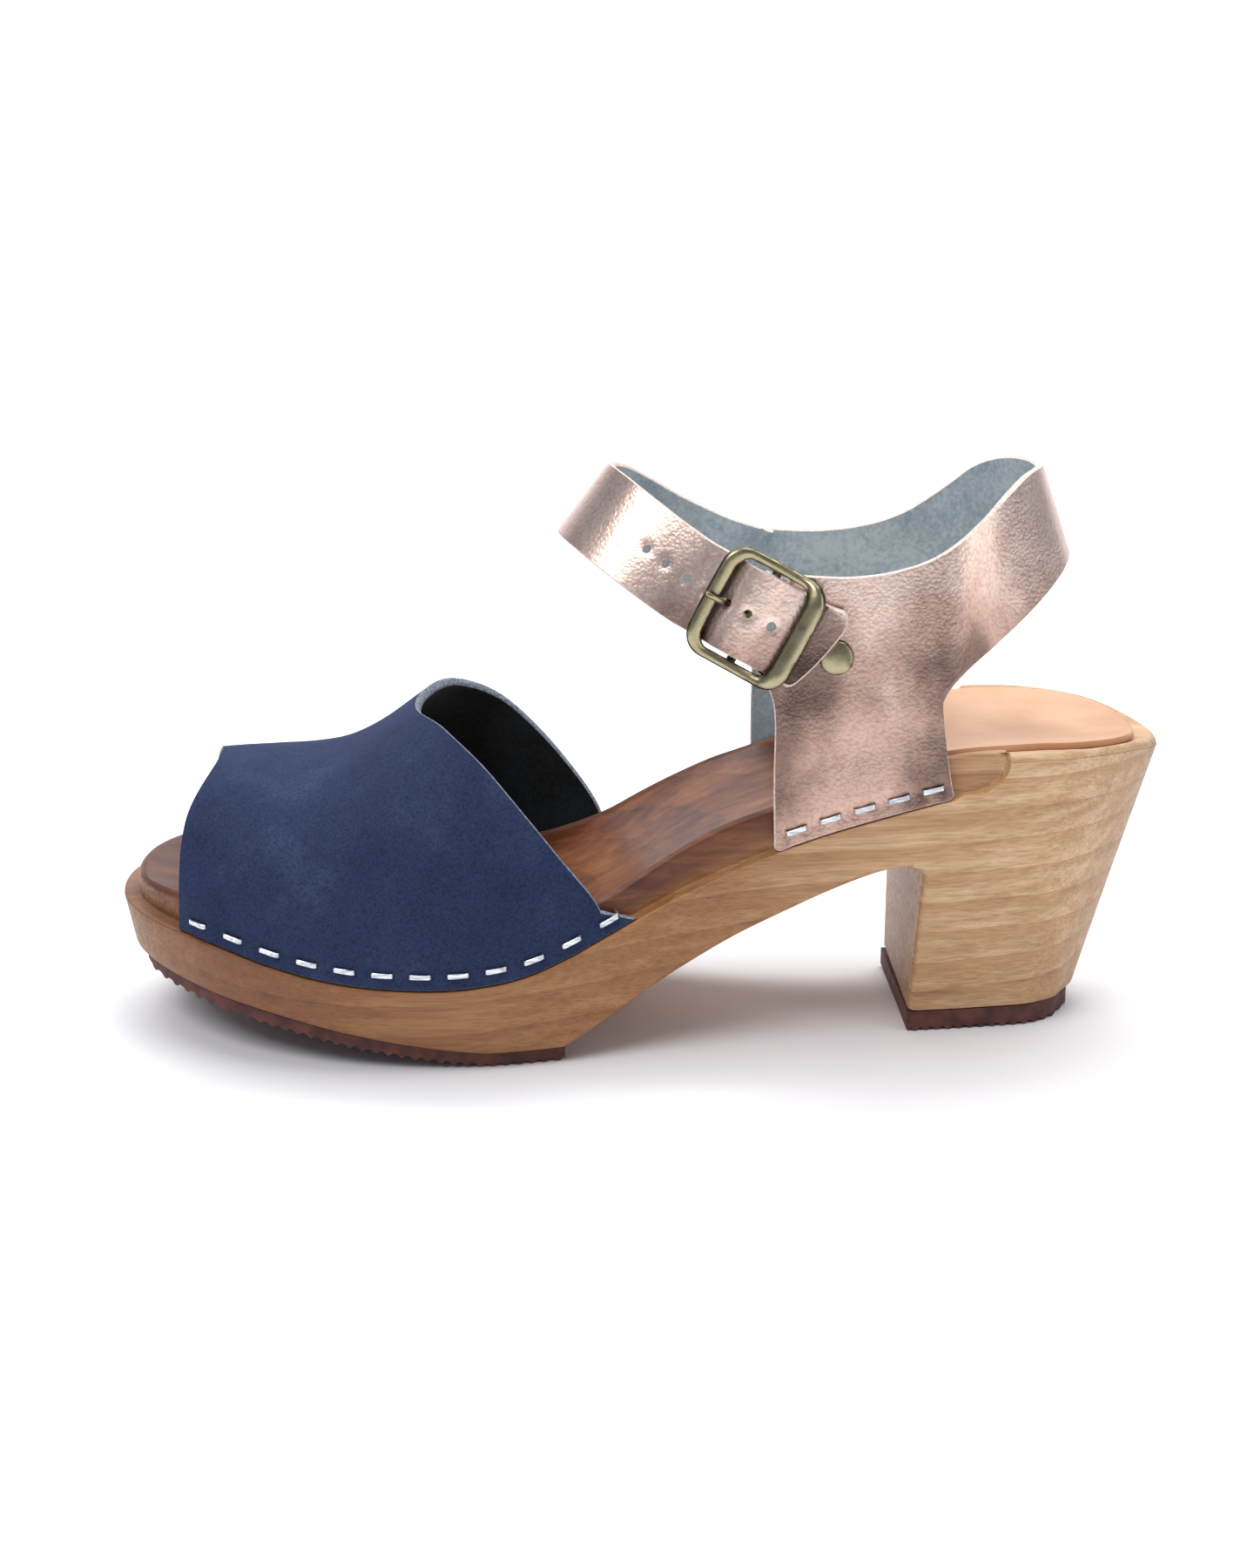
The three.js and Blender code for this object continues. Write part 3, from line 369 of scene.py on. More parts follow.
def turned(name, profile, matrix, materials, count=48, crease_degrees=30.0):
    """Closed body turned about the matrix's Y axis; profile is (radius, height) from axis to axis."""
    radii = np.array([p[0] for p in profile])
    heights = np.array([p[1] for p in profile])
    q = np.arange(count) * 2 * math.pi / count
    rings = np.stack([np.outer(radii, np.cos(q)), np.repeat(heights[:, None], count, axis=1),
                      np.outer(radii, np.sin(q))], axis=-1)
    faces = []
    closed = profile[0] == profile[-1]
    kept = rings[:-1] if closed else rings
    rows = len(kept)
    for r in range(rows if closed else rows - 1):
        a = r * count + np.arange(count)
        b = r * count + (np.arange(count) + 1) % count
        c = (r + 1) % rows * count
        faces += np.stack([a, b, c + b - r * count, c + a - r * count], axis=-1).tolist()
    if not closed:
        faces.append(list(range(count))[::-1])
        faces.append([(rows - 1) * count + k for k in range(count)])
    made = make_object(name, placed_by(matrix, kept.reshape(-1, 3)), faces, materials,
                       crease_degrees=crease_degrees)
    face_outwards(made)
    return made


def face_outwards(made):
    """Turn the faces of a closed mesh out."""
    work = bmesh.new()
    work.from_mesh(made.data)
    bmesh.ops.recalc_face_normals(work, faces=work.faces)
    work.to_mesh(made.data)
    work.free()
    made.data.update()


def placed_by(matrix, points):
    return np.asarray(points) @ matrix[:3, :3].T + matrix[:3, 3]


def sweep(name, path, sides, section, materials, closed, flat_axis, crease_degrees=40.0):
    """Bar along a path; section(i, q) gives its reach in the path's plane and along flat_axis."""
    path = np.asarray(path, float)
    n = len(path)
    if closed:
        heading = unit(np.roll(path, -1, axis=0) - np.roll(path, 1, axis=0))
    else:
        heading = unit(np.gradient(path, axis=0))
    lift = unit(flat_axis - heading * (heading @ flat_axis)[:, None])
    sideways = np.cross(heading, lift)
    q = np.arange(sides) * 2 * math.pi / sides
    vertices = []
    for i in range(n):
        reach, rise = section(i, q)
        vertices.append(path[i] + np.outer(reach, sideways[i]) + np.outer(rise, lift[i]))
    faces = []
    for i in range(n if closed else n - 1):
        k = np.arange(sides)
        l = (k + 1) % sides
        r = (i + 1) % n * sides
        faces += np.stack([i * sides + k, i * sides + l, r + l, r + k], axis=-1).tolist()
    if not closed:
        faces.append(list(range(sides))[::-1])
        faces.append([(n - 1) * sides + k for k in range(sides)])
    made = make_object(name, np.concatenate(vertices), faces, materials, crease_degrees=crease_degrees)
    face_outwards(made)
    return made


# ------------------------------------------------------------------ lines of the sole
TOE_X = -125.5
HEEL_X = 125.2
MID_X = (TOE_X + HEEL_X) / 2
HALF_X = (HEEL_X - TOE_X) / 2
CLEARANCE = 0.3
LEDGE_WIDTH = 3.4
RIM_RADIUS = 1.8
FOOTBED_DISH = 4.5
OUTSOLE_THICKNESS = 3.2
OUTSOLE_INSET = 2.2
OUTSOLE_REAR_X = -19.0
TOP_PIECE = 5.0
LEATHER_REVEAL = 0.5

lateral_plan = [
    (-125.5, 8), (-124, -4), (-119, -14), (-110, -24), (-98, -33.5), (-84, -40), (-68, -44.3),
    (-50, -45.6), (-34, -44.6), (-18, -41.8), (0, -38), (18, -34.8), (40, -33.6), (60, -34.4),
    (80, -34.8), (96, -33), (108, -27.5), (117, -19), (123, -9.5), (125.2, 0)]
medial_plan = [
    (-125.5, 8), (-123.8, 20), (-119, 29), (-110, 37), (-98, 42), (-84, 44.7), (-68, 45.4),
    (-50, 44), (-34, 40.8), (-18, 36.6), (0, 33), (18, 30.9), (40, 30.8), (60, 32.4),
    (80, 34), (96, 33), (108, 27.5), (117, 19), (123, 9.5), (125.2, 0)]


def station_x(t):
    return MID_X - HALF_X * np.cos(np.pi * t)


def station_at(x):
    return np.arccos(np.clip((MID_X - x) / HALF_X, -1, 1)) / np.pi


lateral_y = curve([(station_at(x), y) for x, y in lateral_plan])
medial_y = curve([(station_at(x), y) for x, y in medial_plan])

LEDGE_RUN_OUT_X = 74.0
LEDGE_END_X = 83.0
bottom_line = curve([
    (-125.5, 17.2), (-118, 16.6), (-104, 14.8), (-89, 12.5), (-69, 8.7), (-49, 5.2), (-36, 3.4),
    (-29, 2.8), (-20, 3), (-15, 5.8), (-8, 10), (2, 17), (12, 22.8), (22, 28.2), (32.5, 33.2),
    (44.5, 38.8), (52.4, 42), (58, 43.4), (66, 44), (125.2, 46)])
ledge_low = curve([
    (-125.5, 30.5), (-116, 29.3), (-108.7, 28.6), (-98, 26.9), (-88, 24.5), (-78, 22.4),
    (-68, 21), (-58, 20.2), (-48, 19.9), (-38, 20.5), (-28, 22.3), (-18.7, 25.9), (-8.7, 31),
    (3.4, 37.2), (17, 43.2), (31, 48.7), (51, 55.2), (74, 61.4), (83, 63)])
rim_high = curve([
    (-125.5, 35.6), (-110, 36), (-98, 34.8), (-84, 32.2), (-68, 30), (-50, 29.3), (-38, 30),
    (-26, 32.6), (-15, 36.4), (-6, 40.6), (2, 45.6), (10, 50.2), (19, 54.7), (27, 57.6),
    (36, 60.8), (50, 65), (64, 69), (74, 70.8), (84, 71.4), (97, 71.5), (114, 70.6), (125.2, 67.8)])
wall_reference = curve([(-125.5, 30.5), (-60, 20), (-20, 25), (20, 44), (50, 55), (66, 62),
                        (84, 70.5), (97, 71.5), (125.2, 67.8)])
side_lean = curve([(-125.5, 0.2), (-100, 0.1), (0, 0.1), (50, 0.17), (70, 0.19), (125.2, 0.19)])
REAR_LEAN = 0.295


def wood_bottom(x):
    return np.maximum(bottom_line(x), OUTSOLE_THICKNESS + CLEARANCE)


def ledge_height(x):
    x = np.asarray(x, float)
    top = rim_high(LEDGE_END_X) - RIM_RADIUS
    u = np.clip((x - LEDGE_RUN_OUT_X) / (LEDGE_END_X - LEDGE_RUN_OUT_X), 0, 1)
    scooped = lerp(ledge_low(LEDGE_RUN_OUT_X), top, 1 - np.sqrt(1 - u * u))
    return np.where(x <= LEDGE_RUN_OUT_X, ledge_low(x), np.where(u >= 1, rim_high(x) - RIM_RADIUS, scooped))


def wall_point(t, side, z, inset):
    """Point on or inside the wall: at height z, pushed in by inset from the leaning wall."""
    y_at = lateral_y if side < 0 else medial_y
    d = 0.002
    t0 = np.maximum(t - d, 0)
    t1 = np.minimum(t + d, 1)
    heading = unit(np.stack([station_x(t1) - station_x(t0), y_at(t1) - y_at(t0)], axis=-1))
    nx = -side * heading[..., 1]
    ny = side * heading[..., 0]
    nx = np.where(t <= 0, -1, np.where(t >= 1, 1, nx))
    ny = np.where((t <= 0) | (t >= 1), 0, ny)
    x = station_x(t)
    rear = np.where(nx > 0, nx * nx * smoothstep(x, 80, 120), 0)
    depth = lerp(side_lean(x), REAR_LEAN, rear) * (wall_reference(x) - z) + inset
    return np.stack([x - nx * depth, y_at(t) - ny * depth, np.broadcast_to(z, x.shape)], axis=-1)


def edge_y(side, x, inset, height_at):
    """Y of the wall line at x, pushed in by inset, at the height that height_at gives."""
    t = station_at(x)
    for _ in range(6):
        p = wall_point(t, side, height_at(x), inset)
        t = station_at(station_x(t) + x - p[..., 0])
    return wall_point(t, side, height_at(x), inset)[..., 1]


SEAT_START_X = -88.0
SEAT_END_X = 92.0


def footbed(x, y):
    xc = np.clip(x, SEAT_START_X, SEAT_END_X)
    t = station_at(xc)
    half = (medial_y(t) - lateral_y(t)) / 2 - LEDGE_WIDTH
    across = (y - (medial_y(t) + lateral_y(t)) / 2) / half
    reach = np.where(x > 0, HEEL_X - SEAT_END_X, SEAT_START_X - TOE_X - LEDGE_WIDTH)
    r = np.minimum(np.hypot(across, (x - xc) / reach), 1)
    return rim_high(x) - FOOTBED_DISH * (1 - r ** 2.6)


def ledge_depth(x):
    return np.where(x < LEDGE_END_X, LEDGE_WIDTH, 0.02)


# ------------------------------------------------------------------ frame of the buckle
# a runs along the strap towards its tip, b across it (upwards), n outwards from the foot.
def buckle_frame_matrix():
    slope, lean, turn = (math.radians(v) for v in (27.5, 5.0, 5.0))
    tilt = np.array(Matrix.Rotation(-turn, 3, "Z") @ Matrix.Rotation(-lean, 3, "X"))
    a = tilt @ np.array([math.cos(slope), 0, -math.sin(slope)])
    b = tilt @ np.array([math.sin(slope), 0, math.cos(slope)])
    matrix = np.eye(4)
    matrix[:3, 0], matrix[:3, 1], matrix[:3, 2] = a, b, np.cross(a, b)
    matrix[:3, 3] = (24.5, -29.2, 103.1)
    return matrix


BUCKLE = buckle_frame_matrix()
AXIS_A, AXIS_B, AXIS_N = BUCKLE[:3, 0], BUCKLE[:3, 1], BUCKLE[:3, 2]
MIRROR = np.array([1.0, -1.0, 1.0])


def local(a, b, n):
    return placed_by(BUCKLE, [[a, b, n]])[0]


STRAP_WIDTH = 20.4
HALF_STRAP = STRAP_WIDTH / 2
STRAP_THICKNESS = 2.0
FOLD_THICKNESS = 1.2
BAR_RADIUS = 1.1
BAR_N = -(FOLD_THICKNESS * 0.25 + BAR_RADIUS + CLEARANCE)
BUCKLE_LENGTH = 22.0
BUCKLE_WIDTH = 24.6
FRONT_BAR = 1.3
REAR_BAR = 1.7
RAIL = 1.1
BUCKLE_BOW = 1.6
PRONG_HOLE = -7.4
HOLE_PITCH = 5.7
RIVET_FROM_BAR = 20.7
SHOULDER_END = 1.4
FOLD_RISE = 0.7

# Height of the threaded end's outer face above the quarter: under, over, under the bars.
threaded_face = curve([(-16, -0.7), (-13.5, -0.4), (-11, 0.6), (-8.4, 1.4), (-5.6, 3.4),
                       (-1, 3.7), (3, 3.3), (7.5, 2.9), (11, 2.7), (14.5, 3.2), (21, 4.1)])
FRONT_BAR_N = float(threaded_face(-BUCKLE_LENGTH / 2)) + CLEARANCE + FRONT_BAR
REAR_BAR_N = float(threaded_face(BUCKLE_LENGTH / 2)) + CLEARANCE + REAR_BAR


def rail_height(a):
    f = a / BUCKLE_LENGTH + 0.5
    return lerp(FRONT_BAR_N, REAR_BAR_N, f) - BUCKLE_BOW * (1 - (2 * f - 1) ** 2)


# ------------------------------------------------------------------ materials
def waxed_alder(colours):
    """Alder, sawn, sanded and waxed: low sheen, long fine fibres, brown heart streaks, dark end grain."""
    material, tree, shader = start_material(
        "waxed_alder", **{"Roughness": 0.5, "IOR": 1.5, "Coat Weight": 0.12, "Coat Roughness": 0.35})
    wander = noise(tree, stretched(tree, (4, 13, 13)), detail=2)
    bend = scale_range(tree, wander, -0.006, 0.006)
    place = stretched(tree, (1, 1, 1), turn=(0.0, 0.035, 0.02))
    parts = add_node(tree, "ShaderNodeSeparateXYZ", {0: place})
    across = math_node(tree, "ADD", parts.outputs[1], bend)
    below = math_node(tree, "ADD", parts.outputs[2], math_node(tree, "MULTIPLY", bend, 1.4))
    squares = math_node(tree, "ADD", math_node(tree, "POWER", math_node(tree, "ADD", across, 0.012), 2.0),
                        math_node(tree, "POWER", math_node(tree, "ADD", below, 0.055), 2.0))
    distance = math_node(tree, "SQRT", squares)
    ring_count = math_node(tree, "MULTIPLY", distance, 1 / 0.0074)  # a growth ring every 7.4 mm
    late_wood = math_node(tree, "POWER", math_node(tree, "FRACT", ring_count), 2.6)
    fibres = noise(tree, stretched(tree, (12, 380, 380)), detail=5, roughness=0.62)
    fine_fibres = noise(tree, stretched(tree, (60, 2200, 2200)), detail=3, roughness=0.6)
    heart = noise(tree, stretched(tree, (7, 75, 75)), detail=5, roughness=0.62, distortion=0.3)
    cloud = noise(tree, stretched(tree, (14, 40, 40)), detail=3)
    grain = math_node(tree, "ADD", math_node(tree, "MULTIPLY", late_wood, 0.16),
                      math_node(tree, "MULTIPLY", fibres, 0.58))
    grain = math_node(tree, "ADD", grain, math_node(tree, "MULTIPLY", cloud, 0.3))
    sapwood = ramp(tree, grain, [(0.34, colours["light"]), (0.54, colours["mid"]), (0.8, colours["dark"])])
    streak = scale_range(tree, heart, 0.0, 1.0, 0.40, 0.60)
    heartwood = ramp(tree, grain, [(0.34, colours["heart_light"]), (0.72, colours["heart_dark"])])
    footbed = attribute(tree, "footbed")
    tinted = mix(tree, math_node(tree, "MULTIPLY", streak, scale_range(tree, footbed, 0.16, 1.0)),
                 sapwood, heartwood)
    tinted = mix(tree, math_node(tree, "MULTIPLY", footbed, 0.85), tinted, linear("#b98d66"), "MULTIPLY")
    # The wood is darker towards the toe.
    toe_darkening = ramp(tree, scale_range(tree, parts.outputs[0], 0.0, 1.0, -0.125, 0.125),
               [(0.1, "#a8845f"), (0.5, "#ceb396"), (0.8, "#ffffff")])
    tinted = mix(tree, 1.0, tinted, toe_darkening, "MULTIPLY")
    fine = ramp(tree, fine_fibres, [(0.3, "#b8aa98"), (0.62, "#ffffff")])
    tinted = mix(tree, 0.5, tinted, fine, "MULTIPLY")
    end = math_node(tree, "MULTIPLY", attribute(tree, "end_grain"), 0.62)
    pores = ramp(tree, noise(tree, stretched(tree, (900, 900, 900)), detail=3),
                 [(0.35, "#6f4a28"), (0.7, "#b98a58")])
    tinted = mix(tree, end, tinted, pores, "MIX")
    tree.links.new(tinted, shader.inputs["Base Color"])
    tree.links.new(scale_range(tree, fibres, 0.42, 0.62), shader.inputs["Roughness"])
    relief = math_node(tree, "ADD", fibres, math_node(tree, "MULTIPLY", fine_fibres, 0.6))
    bump(tree, relief, 0.10, shader, 0.55)
    return material


def moulded_rubber(colours):
    """Red-brown crepe-like rubber, moulded: matt, with a faint mottle and dust in its pores."""
    material, tree, shader = start_material("moulded_rubber", **{"Roughness": 0.72, "IOR": 1.52})
    mottle = noise(tree, stretched(tree, (260, 260, 260)), detail=4)
    colour = ramp(tree, mottle, [(0.3, colours["dark"]), (0.7, colours["light"])])
    tree.links.new(colour, shader.inputs["Base Color"])
    bump(tree, noise(tree, stretched(tree, (1400, 1400, 1400)), detail=3), 0.12, shader, 0.6)
    return material


def tanned_leather(colours):
    """Vegetable-tanned split, rolled smooth: pale tan, faint pores, slightly darker where handled."""
    material, tree, shader = start_material(
        "vegetable_tanned_leather", **{"Roughness": 0.55, "IOR": 1.45, "Sheen Weight": 0.1})
    cloud = noise(tree, stretched(tree, (45, 45, 45)), detail=4)
    colour = ramp(tree, cloud, [(0.3, colours["dark"]), (0.7, colours["light"])])
    tree.links.new(colour, shader.inputs["Base Color"])
    pore = add_node(tree, "ShaderNodeTexVoronoi", {
        "Vector": stretched(tree, (1500, 1500, 1500)), "Scale": 1.0}).outputs["Distance"]
    bump(tree, pore, 0.05, shader, 0.5)
    return material


def navy_nubuck(colours):
    """Nubuck, buffed on the grain side: a short nap that scatters light and mottles where brushed."""
    material, tree, shader = start_material(
        "navy_nubuck", **{"Roughness": 0.92, "IOR": 1.4, "Specular IOR Level": 0.25,
                          "Sheen Weight": 0.12, "Sheen Roughness": 0.45,
                          "Sheen Tint": linear(colours["nap"])})
    brushed = noise(tree, stretched(tree, (55, 55, 55)), detail=5, roughness=0.6)
    nap = noise(tree, stretched(tree, (1700, 1700, 1700)), detail=4, roughness=0.7)
    wear = ramp(tree, brushed, [(0.28, colours["deep"]), (0.5, colours["navy"]), (0.74, colours["pale"])])
    speck = ramp(tree, nap, [(0.3, "#8d93a8"), (0.62, "#ffffff")])
    tree.links.new(mix(tree, 0.75, wear, speck, "MULTIPLY"), shader.inputs["Base Color"])
    bump(tree, nap, 0.10, shader, 0.6)
    return material


def suede(name, colours, sheen):
    """Flesh side of leather: an even, dull nap."""
    material, tree, shader = start_material(
        name, **{"Roughness": 0.95, "IOR": 1.4, "Specular IOR Level": 0.2, "Sheen Weight": sheen})
    nap = noise(tree, stretched(tree, (900, 900, 900)), detail=4, roughness=0.65)
    cloud = noise(tree, stretched(tree, (70, 70, 70)), detail=3)
    colour = ramp(tree, math_node(tree, "ADD", math_node(tree, "MULTIPLY", nap, 0.5),
                                  math_node(tree, "MULTIPLY", cloud, 0.5)),
                  [(0.36, colours["dark"]), (0.62, colours["light"])])
    tree.links.new(colour, shader.inputs["Base Color"])
    bump(tree, nap, 0.10, shader, 0.6)
    return material


def cut_edge(name, colour_dark, colour_light):
    """Raw cut edge of leather: fibrous and matt."""
    material, tree, shader = start_material(name, **{"Roughness": 0.85, "IOR": 1.4})
    fibre = noise(tree, stretched(tree, (1500, 1500, 1500)), detail=3)
    colour = ramp(tree, fibre, [(0.35, colour_dark), (0.65, colour_light)])
    tree.links.new(colour, shader.inputs["Base Color"])
    bump(tree, fibre, 0.08, shader, 0.6)
    return material


def foil_leather(colours):
    """Rose-gold foil pressed on leather: a metal film over a fine pebble, so highlights break up."""
    material, tree, shader = start_material(
        "rose_gold_foil_leather", **{"Metallic": 1.0, "Roughness": 0.28})
    # Pebbles of about 0.7 mm.
    pebble = add_node(tree, "ShaderNodeTexVoronoi", {
        "Vector": stretched(tree, (1400, 1400, 1400)), "Scale": 1.0, "Randomness": 1.0},
        feature="SMOOTH_F1").outputs["Distance"]
    grain = noise(tree, stretched(tree, (2600, 2600, 2600)), detail=2, roughness=0.5)
    handled = noise(tree, stretched(tree, (34, 34, 20)), detail=4, roughness=0.55)
    height = add_node(tree, "ShaderNodeSeparateXYZ", {0: stretched(tree, (1, 1, 1))}).outputs[2]
    # Painted reflections: the handled noise and the height ramp paint dark and light bands into the foil's
    # colour, the quarters darker than the straps above them. They stand in for the room reflected in the
    # metal film. The same noise also varies the roughness.
    painted_reflection = math_node(tree, "ADD", scale_range(tree, height, 0.0, 0.36, 0.092, 0.116), handled)
    foil = ramp(tree, painted_reflection, [(0.38, colours["deep"]), (0.58, colours["foil_mid"]),
                                  (0.76, colours["foil"])])
    valley = ramp(tree, pebble, [(0.2, "#ffffff"), (0.85, "#d8bdb2")])
    tree.links.new(mix(tree, 0.5, foil, valley, "MULTIPLY"), shader.inputs["Base Color"])
    tree.links.new(scale_range(tree, handled, 0.24, 0.36, 0.3, 0.7), shader.inputs["Roughness"])
    relief = math_node(tree, "ADD", math_node(tree, "MULTIPLY", pebble, -0.7),
                       math_node(tree, "MULTIPLY", grain, 0.35))
    soft = bump(tree, noise(tree, stretched(tree, (110, 110, 110)), detail=3), 0.25, shader, 0.35)
    bump(tree, relief, 0.085, shader, 0.7, under=soft)
    return material


def antique_brass(colours):
    """Cast brass, plated and rubbed back: dark in the hollows, bright on the worn edges."""
    material, tree, shader = start_material("antique_brass", **{"Metallic": 1.0, "Roughness": 0.34})
    patina = noise(tree, stretched(tree, (210, 210, 210)), detail=5, roughness=0.65)
    worn = math_node(tree, "ADD", math_node(tree, "MULTIPLY", patina, 0.55),
                     math_node(tree, "MULTIPLY", attribute(tree, "worn"), 0.45))
    colour = ramp(tree, worn, [(0.28, colours["dark"]), (0.5, colours["mid"]), (0.72, colours["bright"])])
    tree.links.new(colour, shader.inputs["Base Color"])
    tree.links.new(scale_range(tree, patina, 0.4, 0.18, 0.3, 0.7), shader.inputs["Roughness"])
    bump(tree, noise(tree, stretched(tree, (900, 900, 900)), detail=3), 0.05, shader, 0.4)
    return material


def bright_wire(colours):
    """Galvanised steel staple wire, drawn flat: bright, with fine lines along it."""
    material, tree, shader = start_material("galvanised_wire", **{"Metallic": 1.0, "Roughness": 0.3})
    drawn = noise(tree, stretched(tree, (200, 2400, 2400)), detail=2)
    tree.links.new(ramp(tree, drawn, [(0.3, colours["dull"]), (0.7, colours["bright"])]),
                   shader.inputs["Base Color"])
    return material


def matt_paper(name, colour):
    """Seamless studio paper: even and dull."""
    look = {"Base Color": linear(colour), "Roughness": 1.0, "Specular IOR Level": 0.0}
    return start_material(name, **look)[0]


# ------------------------------------------------------------------ the wooden sole
STATIONS = np.sort(np.concatenate([np.linspace(0, 1, 171), station_at(np.linspace(73.5, 84.5, 34))]))
SPINE_REACH = HALF_X - 34


def around(place):
    """One closed ring round the sole; place(t, side) gives its points."""
    return np.concatenate([place(STATIONS, -1), place(STATIONS[1:-1], 1)[::-1]])


def towards_spine(p, t, f, height):
    x = lerp(p[..., 0], MID_X - SPINE_REACH * np.cos(np.pi * t), f)
    y = lerp(p[..., 1], (lateral_y(t) + medial_y(t)) / 2, f)
    return np.stack([x, y, height(x, y)], axis=-1)


def platform(material):
    low_edge = 2.0  # radius of the lower edge
    ledge_edge = 0.5  # radius of the ledge's edge
    set_back = 0.3  # from the ledge to the riser
    corner = 0.45  # radius between them

    def wall(height_at, inset):
        return around(lambda t, s: wall_point(t, s, height_at(station_x(t)), inset))

    def bottom(f):
        def place(t, s):
            p = wall_point(t, s, wood_bottom(station_x(t)), low_edge)
            return towards_spine(p, t, f, lambda x, y: wood_bottom(x))
        return around(place)

    def riser(height_at, extra):
        def place(t, s):
            x = station_x(t)
            p = wall_point(t, s, ledge_height(x), ledge_depth(x) + set_back + extra)
            p[..., 2] = height_at(x)
            return p
        return around(place)

    def inside(f):
        def place(t, s):
            x = station_x(t)
            p = wall_point(t, s, ledge_height(x), ledge_depth(x) + set_back + RIM_RADIUS)
            return towards_spine(p, t, f, footbed)
        return around(place)

    rings = [bottom(f) for f in (0.97, 0.8, 0.6, 0.4, 0.2, 0.06, 0)]
    for q in np.radians([25, 45, 65, 90]):
        rings.append(wall(lambda x: wood_bottom(x) + low_edge * (1 - math.cos(q)),
                          low_edge * (1 - math.sin(q))))
    for f in (0.33, 0.66):
        rings.append(wall(lambda x: lerp(wood_bottom(x) + low_edge, ledge_height(x) - ledge_edge, f), 0))
    for q in np.radians([0, 30, 60, 90]):
        rings.append(wall(lambda x: ledge_height(x) - ledge_edge * (1 - math.sin(q)),
                          ledge_edge * (1 - math.cos(q))))

    def ledge(f, lift):
        def place(t, s):
            x = station_x(t)
            depth = np.maximum(ledge_depth(x) * f, np.minimum(ledge_edge + 0.02 * f, 0.6))
            return wall_point(t, s, ledge_height(x) + lift, depth)
        return around(place)

    rings += [ledge(0.5, 0.01), ledge(0.92, 0.02)]
    rings.append(riser(lambda x: ledge_height(x) + np.minimum(corner, RIM_RADIUS * 0.2), 0.0))
    for f in (0.5, 1.0):
        rings.append(riser(lambda x: lerp(ledge_height(x) + RIM_RADIUS * 0.25,
                                          rim_high(x) - RIM_RADIUS + 0.04, f), 0.0))
    for q in np.radians([18, 36, 54, 72]):
        rings.append(riser(lambda x: rim_high(x) - RIM_RADIUS * (1 - math.sin(q)),
                           RIM_RADIUS * (1 - math.cos(q))))
    rings += [inside(f) for f in (0, 0.03, 0.07, 0.12, 0.18, 0.25, 0.33, 0.42, 0.52, 0.63, 0.75, 0.87, 0.97)]
    return stacked_rings("sole", rings, [material], crease_degrees=34)


def breast_x(z):
    return 62.3 + z / 42.5 * 2.1


def heel_ring(z, inset, corner=1.6, fillet=3.6, arch=43.9):
    """Outline of the heel at height z: round the rear, then square across the breast."""
    front = breast_x(z) + inset
    rise = max(0.0, min(z - (arch - fillet), fillet))
    front -= fillet - math.sqrt(fillet * fillet - rise * rise)
    start = float(station_at(front + corner))
    rows = []
    for side in (-1, 1):
        t = start + (1 - start) * np.linspace(0, 1, 60) ** 1.15
        wall = wall_point(t, side, z, inset)
        edge = wall[0]
        q = np.radians([90, 67, 45, 22])
        arc = np.stack([edge[0] - corner * np.sin(q), edge[1] - side * corner * (1 - np.cos(q)),
                        np.full(4, z)], axis=-1)
        rows.append(np.concatenate([arc, wall]))
    return np.concatenate([rows[0], rows[1][:-1][::-1]])


def heel_block(name, levels, materials):
    """Closed block from heel outlines; its rings have an odd number of points."""
    rings = np.array([heel_ring(*level) for level in levels])
    count, n = rings.shape[:2]
    faces = ring_faces(count, n)
    last = (count - 1) * n
    for a in range((n - 1) // 2):
        c = n - 1 - a
        if a + 1 == c - 1:
            faces += [[a, c, c - 1], [last + a, last + c - 1, last + c]]
        else:
            faces += [[a, c, c - 1, a + 1], [last + a, last + a + 1, last + c - 1, last + c]]
    made = make_object(name, rings.reshape(-1, 3), faces, materials)
    face_outwards(made)
    return made


def paint_wood(piece):
    """Store how far each vertex faces along the grain, and how much it belongs to the footbed."""
    mesh = piece.data
    count = len(mesh.vertices)
    places = np.empty(count * 3)
    mesh.vertices.foreach_get("co", places)
    places = places.reshape(-1, 3) / MM - DRAWING_OFFSET
    normals = np.array([v.vector[:] for v in mesh.vertex_normals])
    end = np.clip((np.abs(normals[:, 0]) - 0.62) / 0.3, 0, 1)
    above = places[:, 2] - ledge_height(places[:, 0])
    bed = smoothstep(above, 0.5, 5.0) * smoothstep(-places[:, 0], -92, -60)
    for name, values in (("end_grain", end), ("footbed", bed)):
        layer = mesh.attributes.new(name, "FLOAT", "POINT")
        layer.data.foreach_set("value", values)


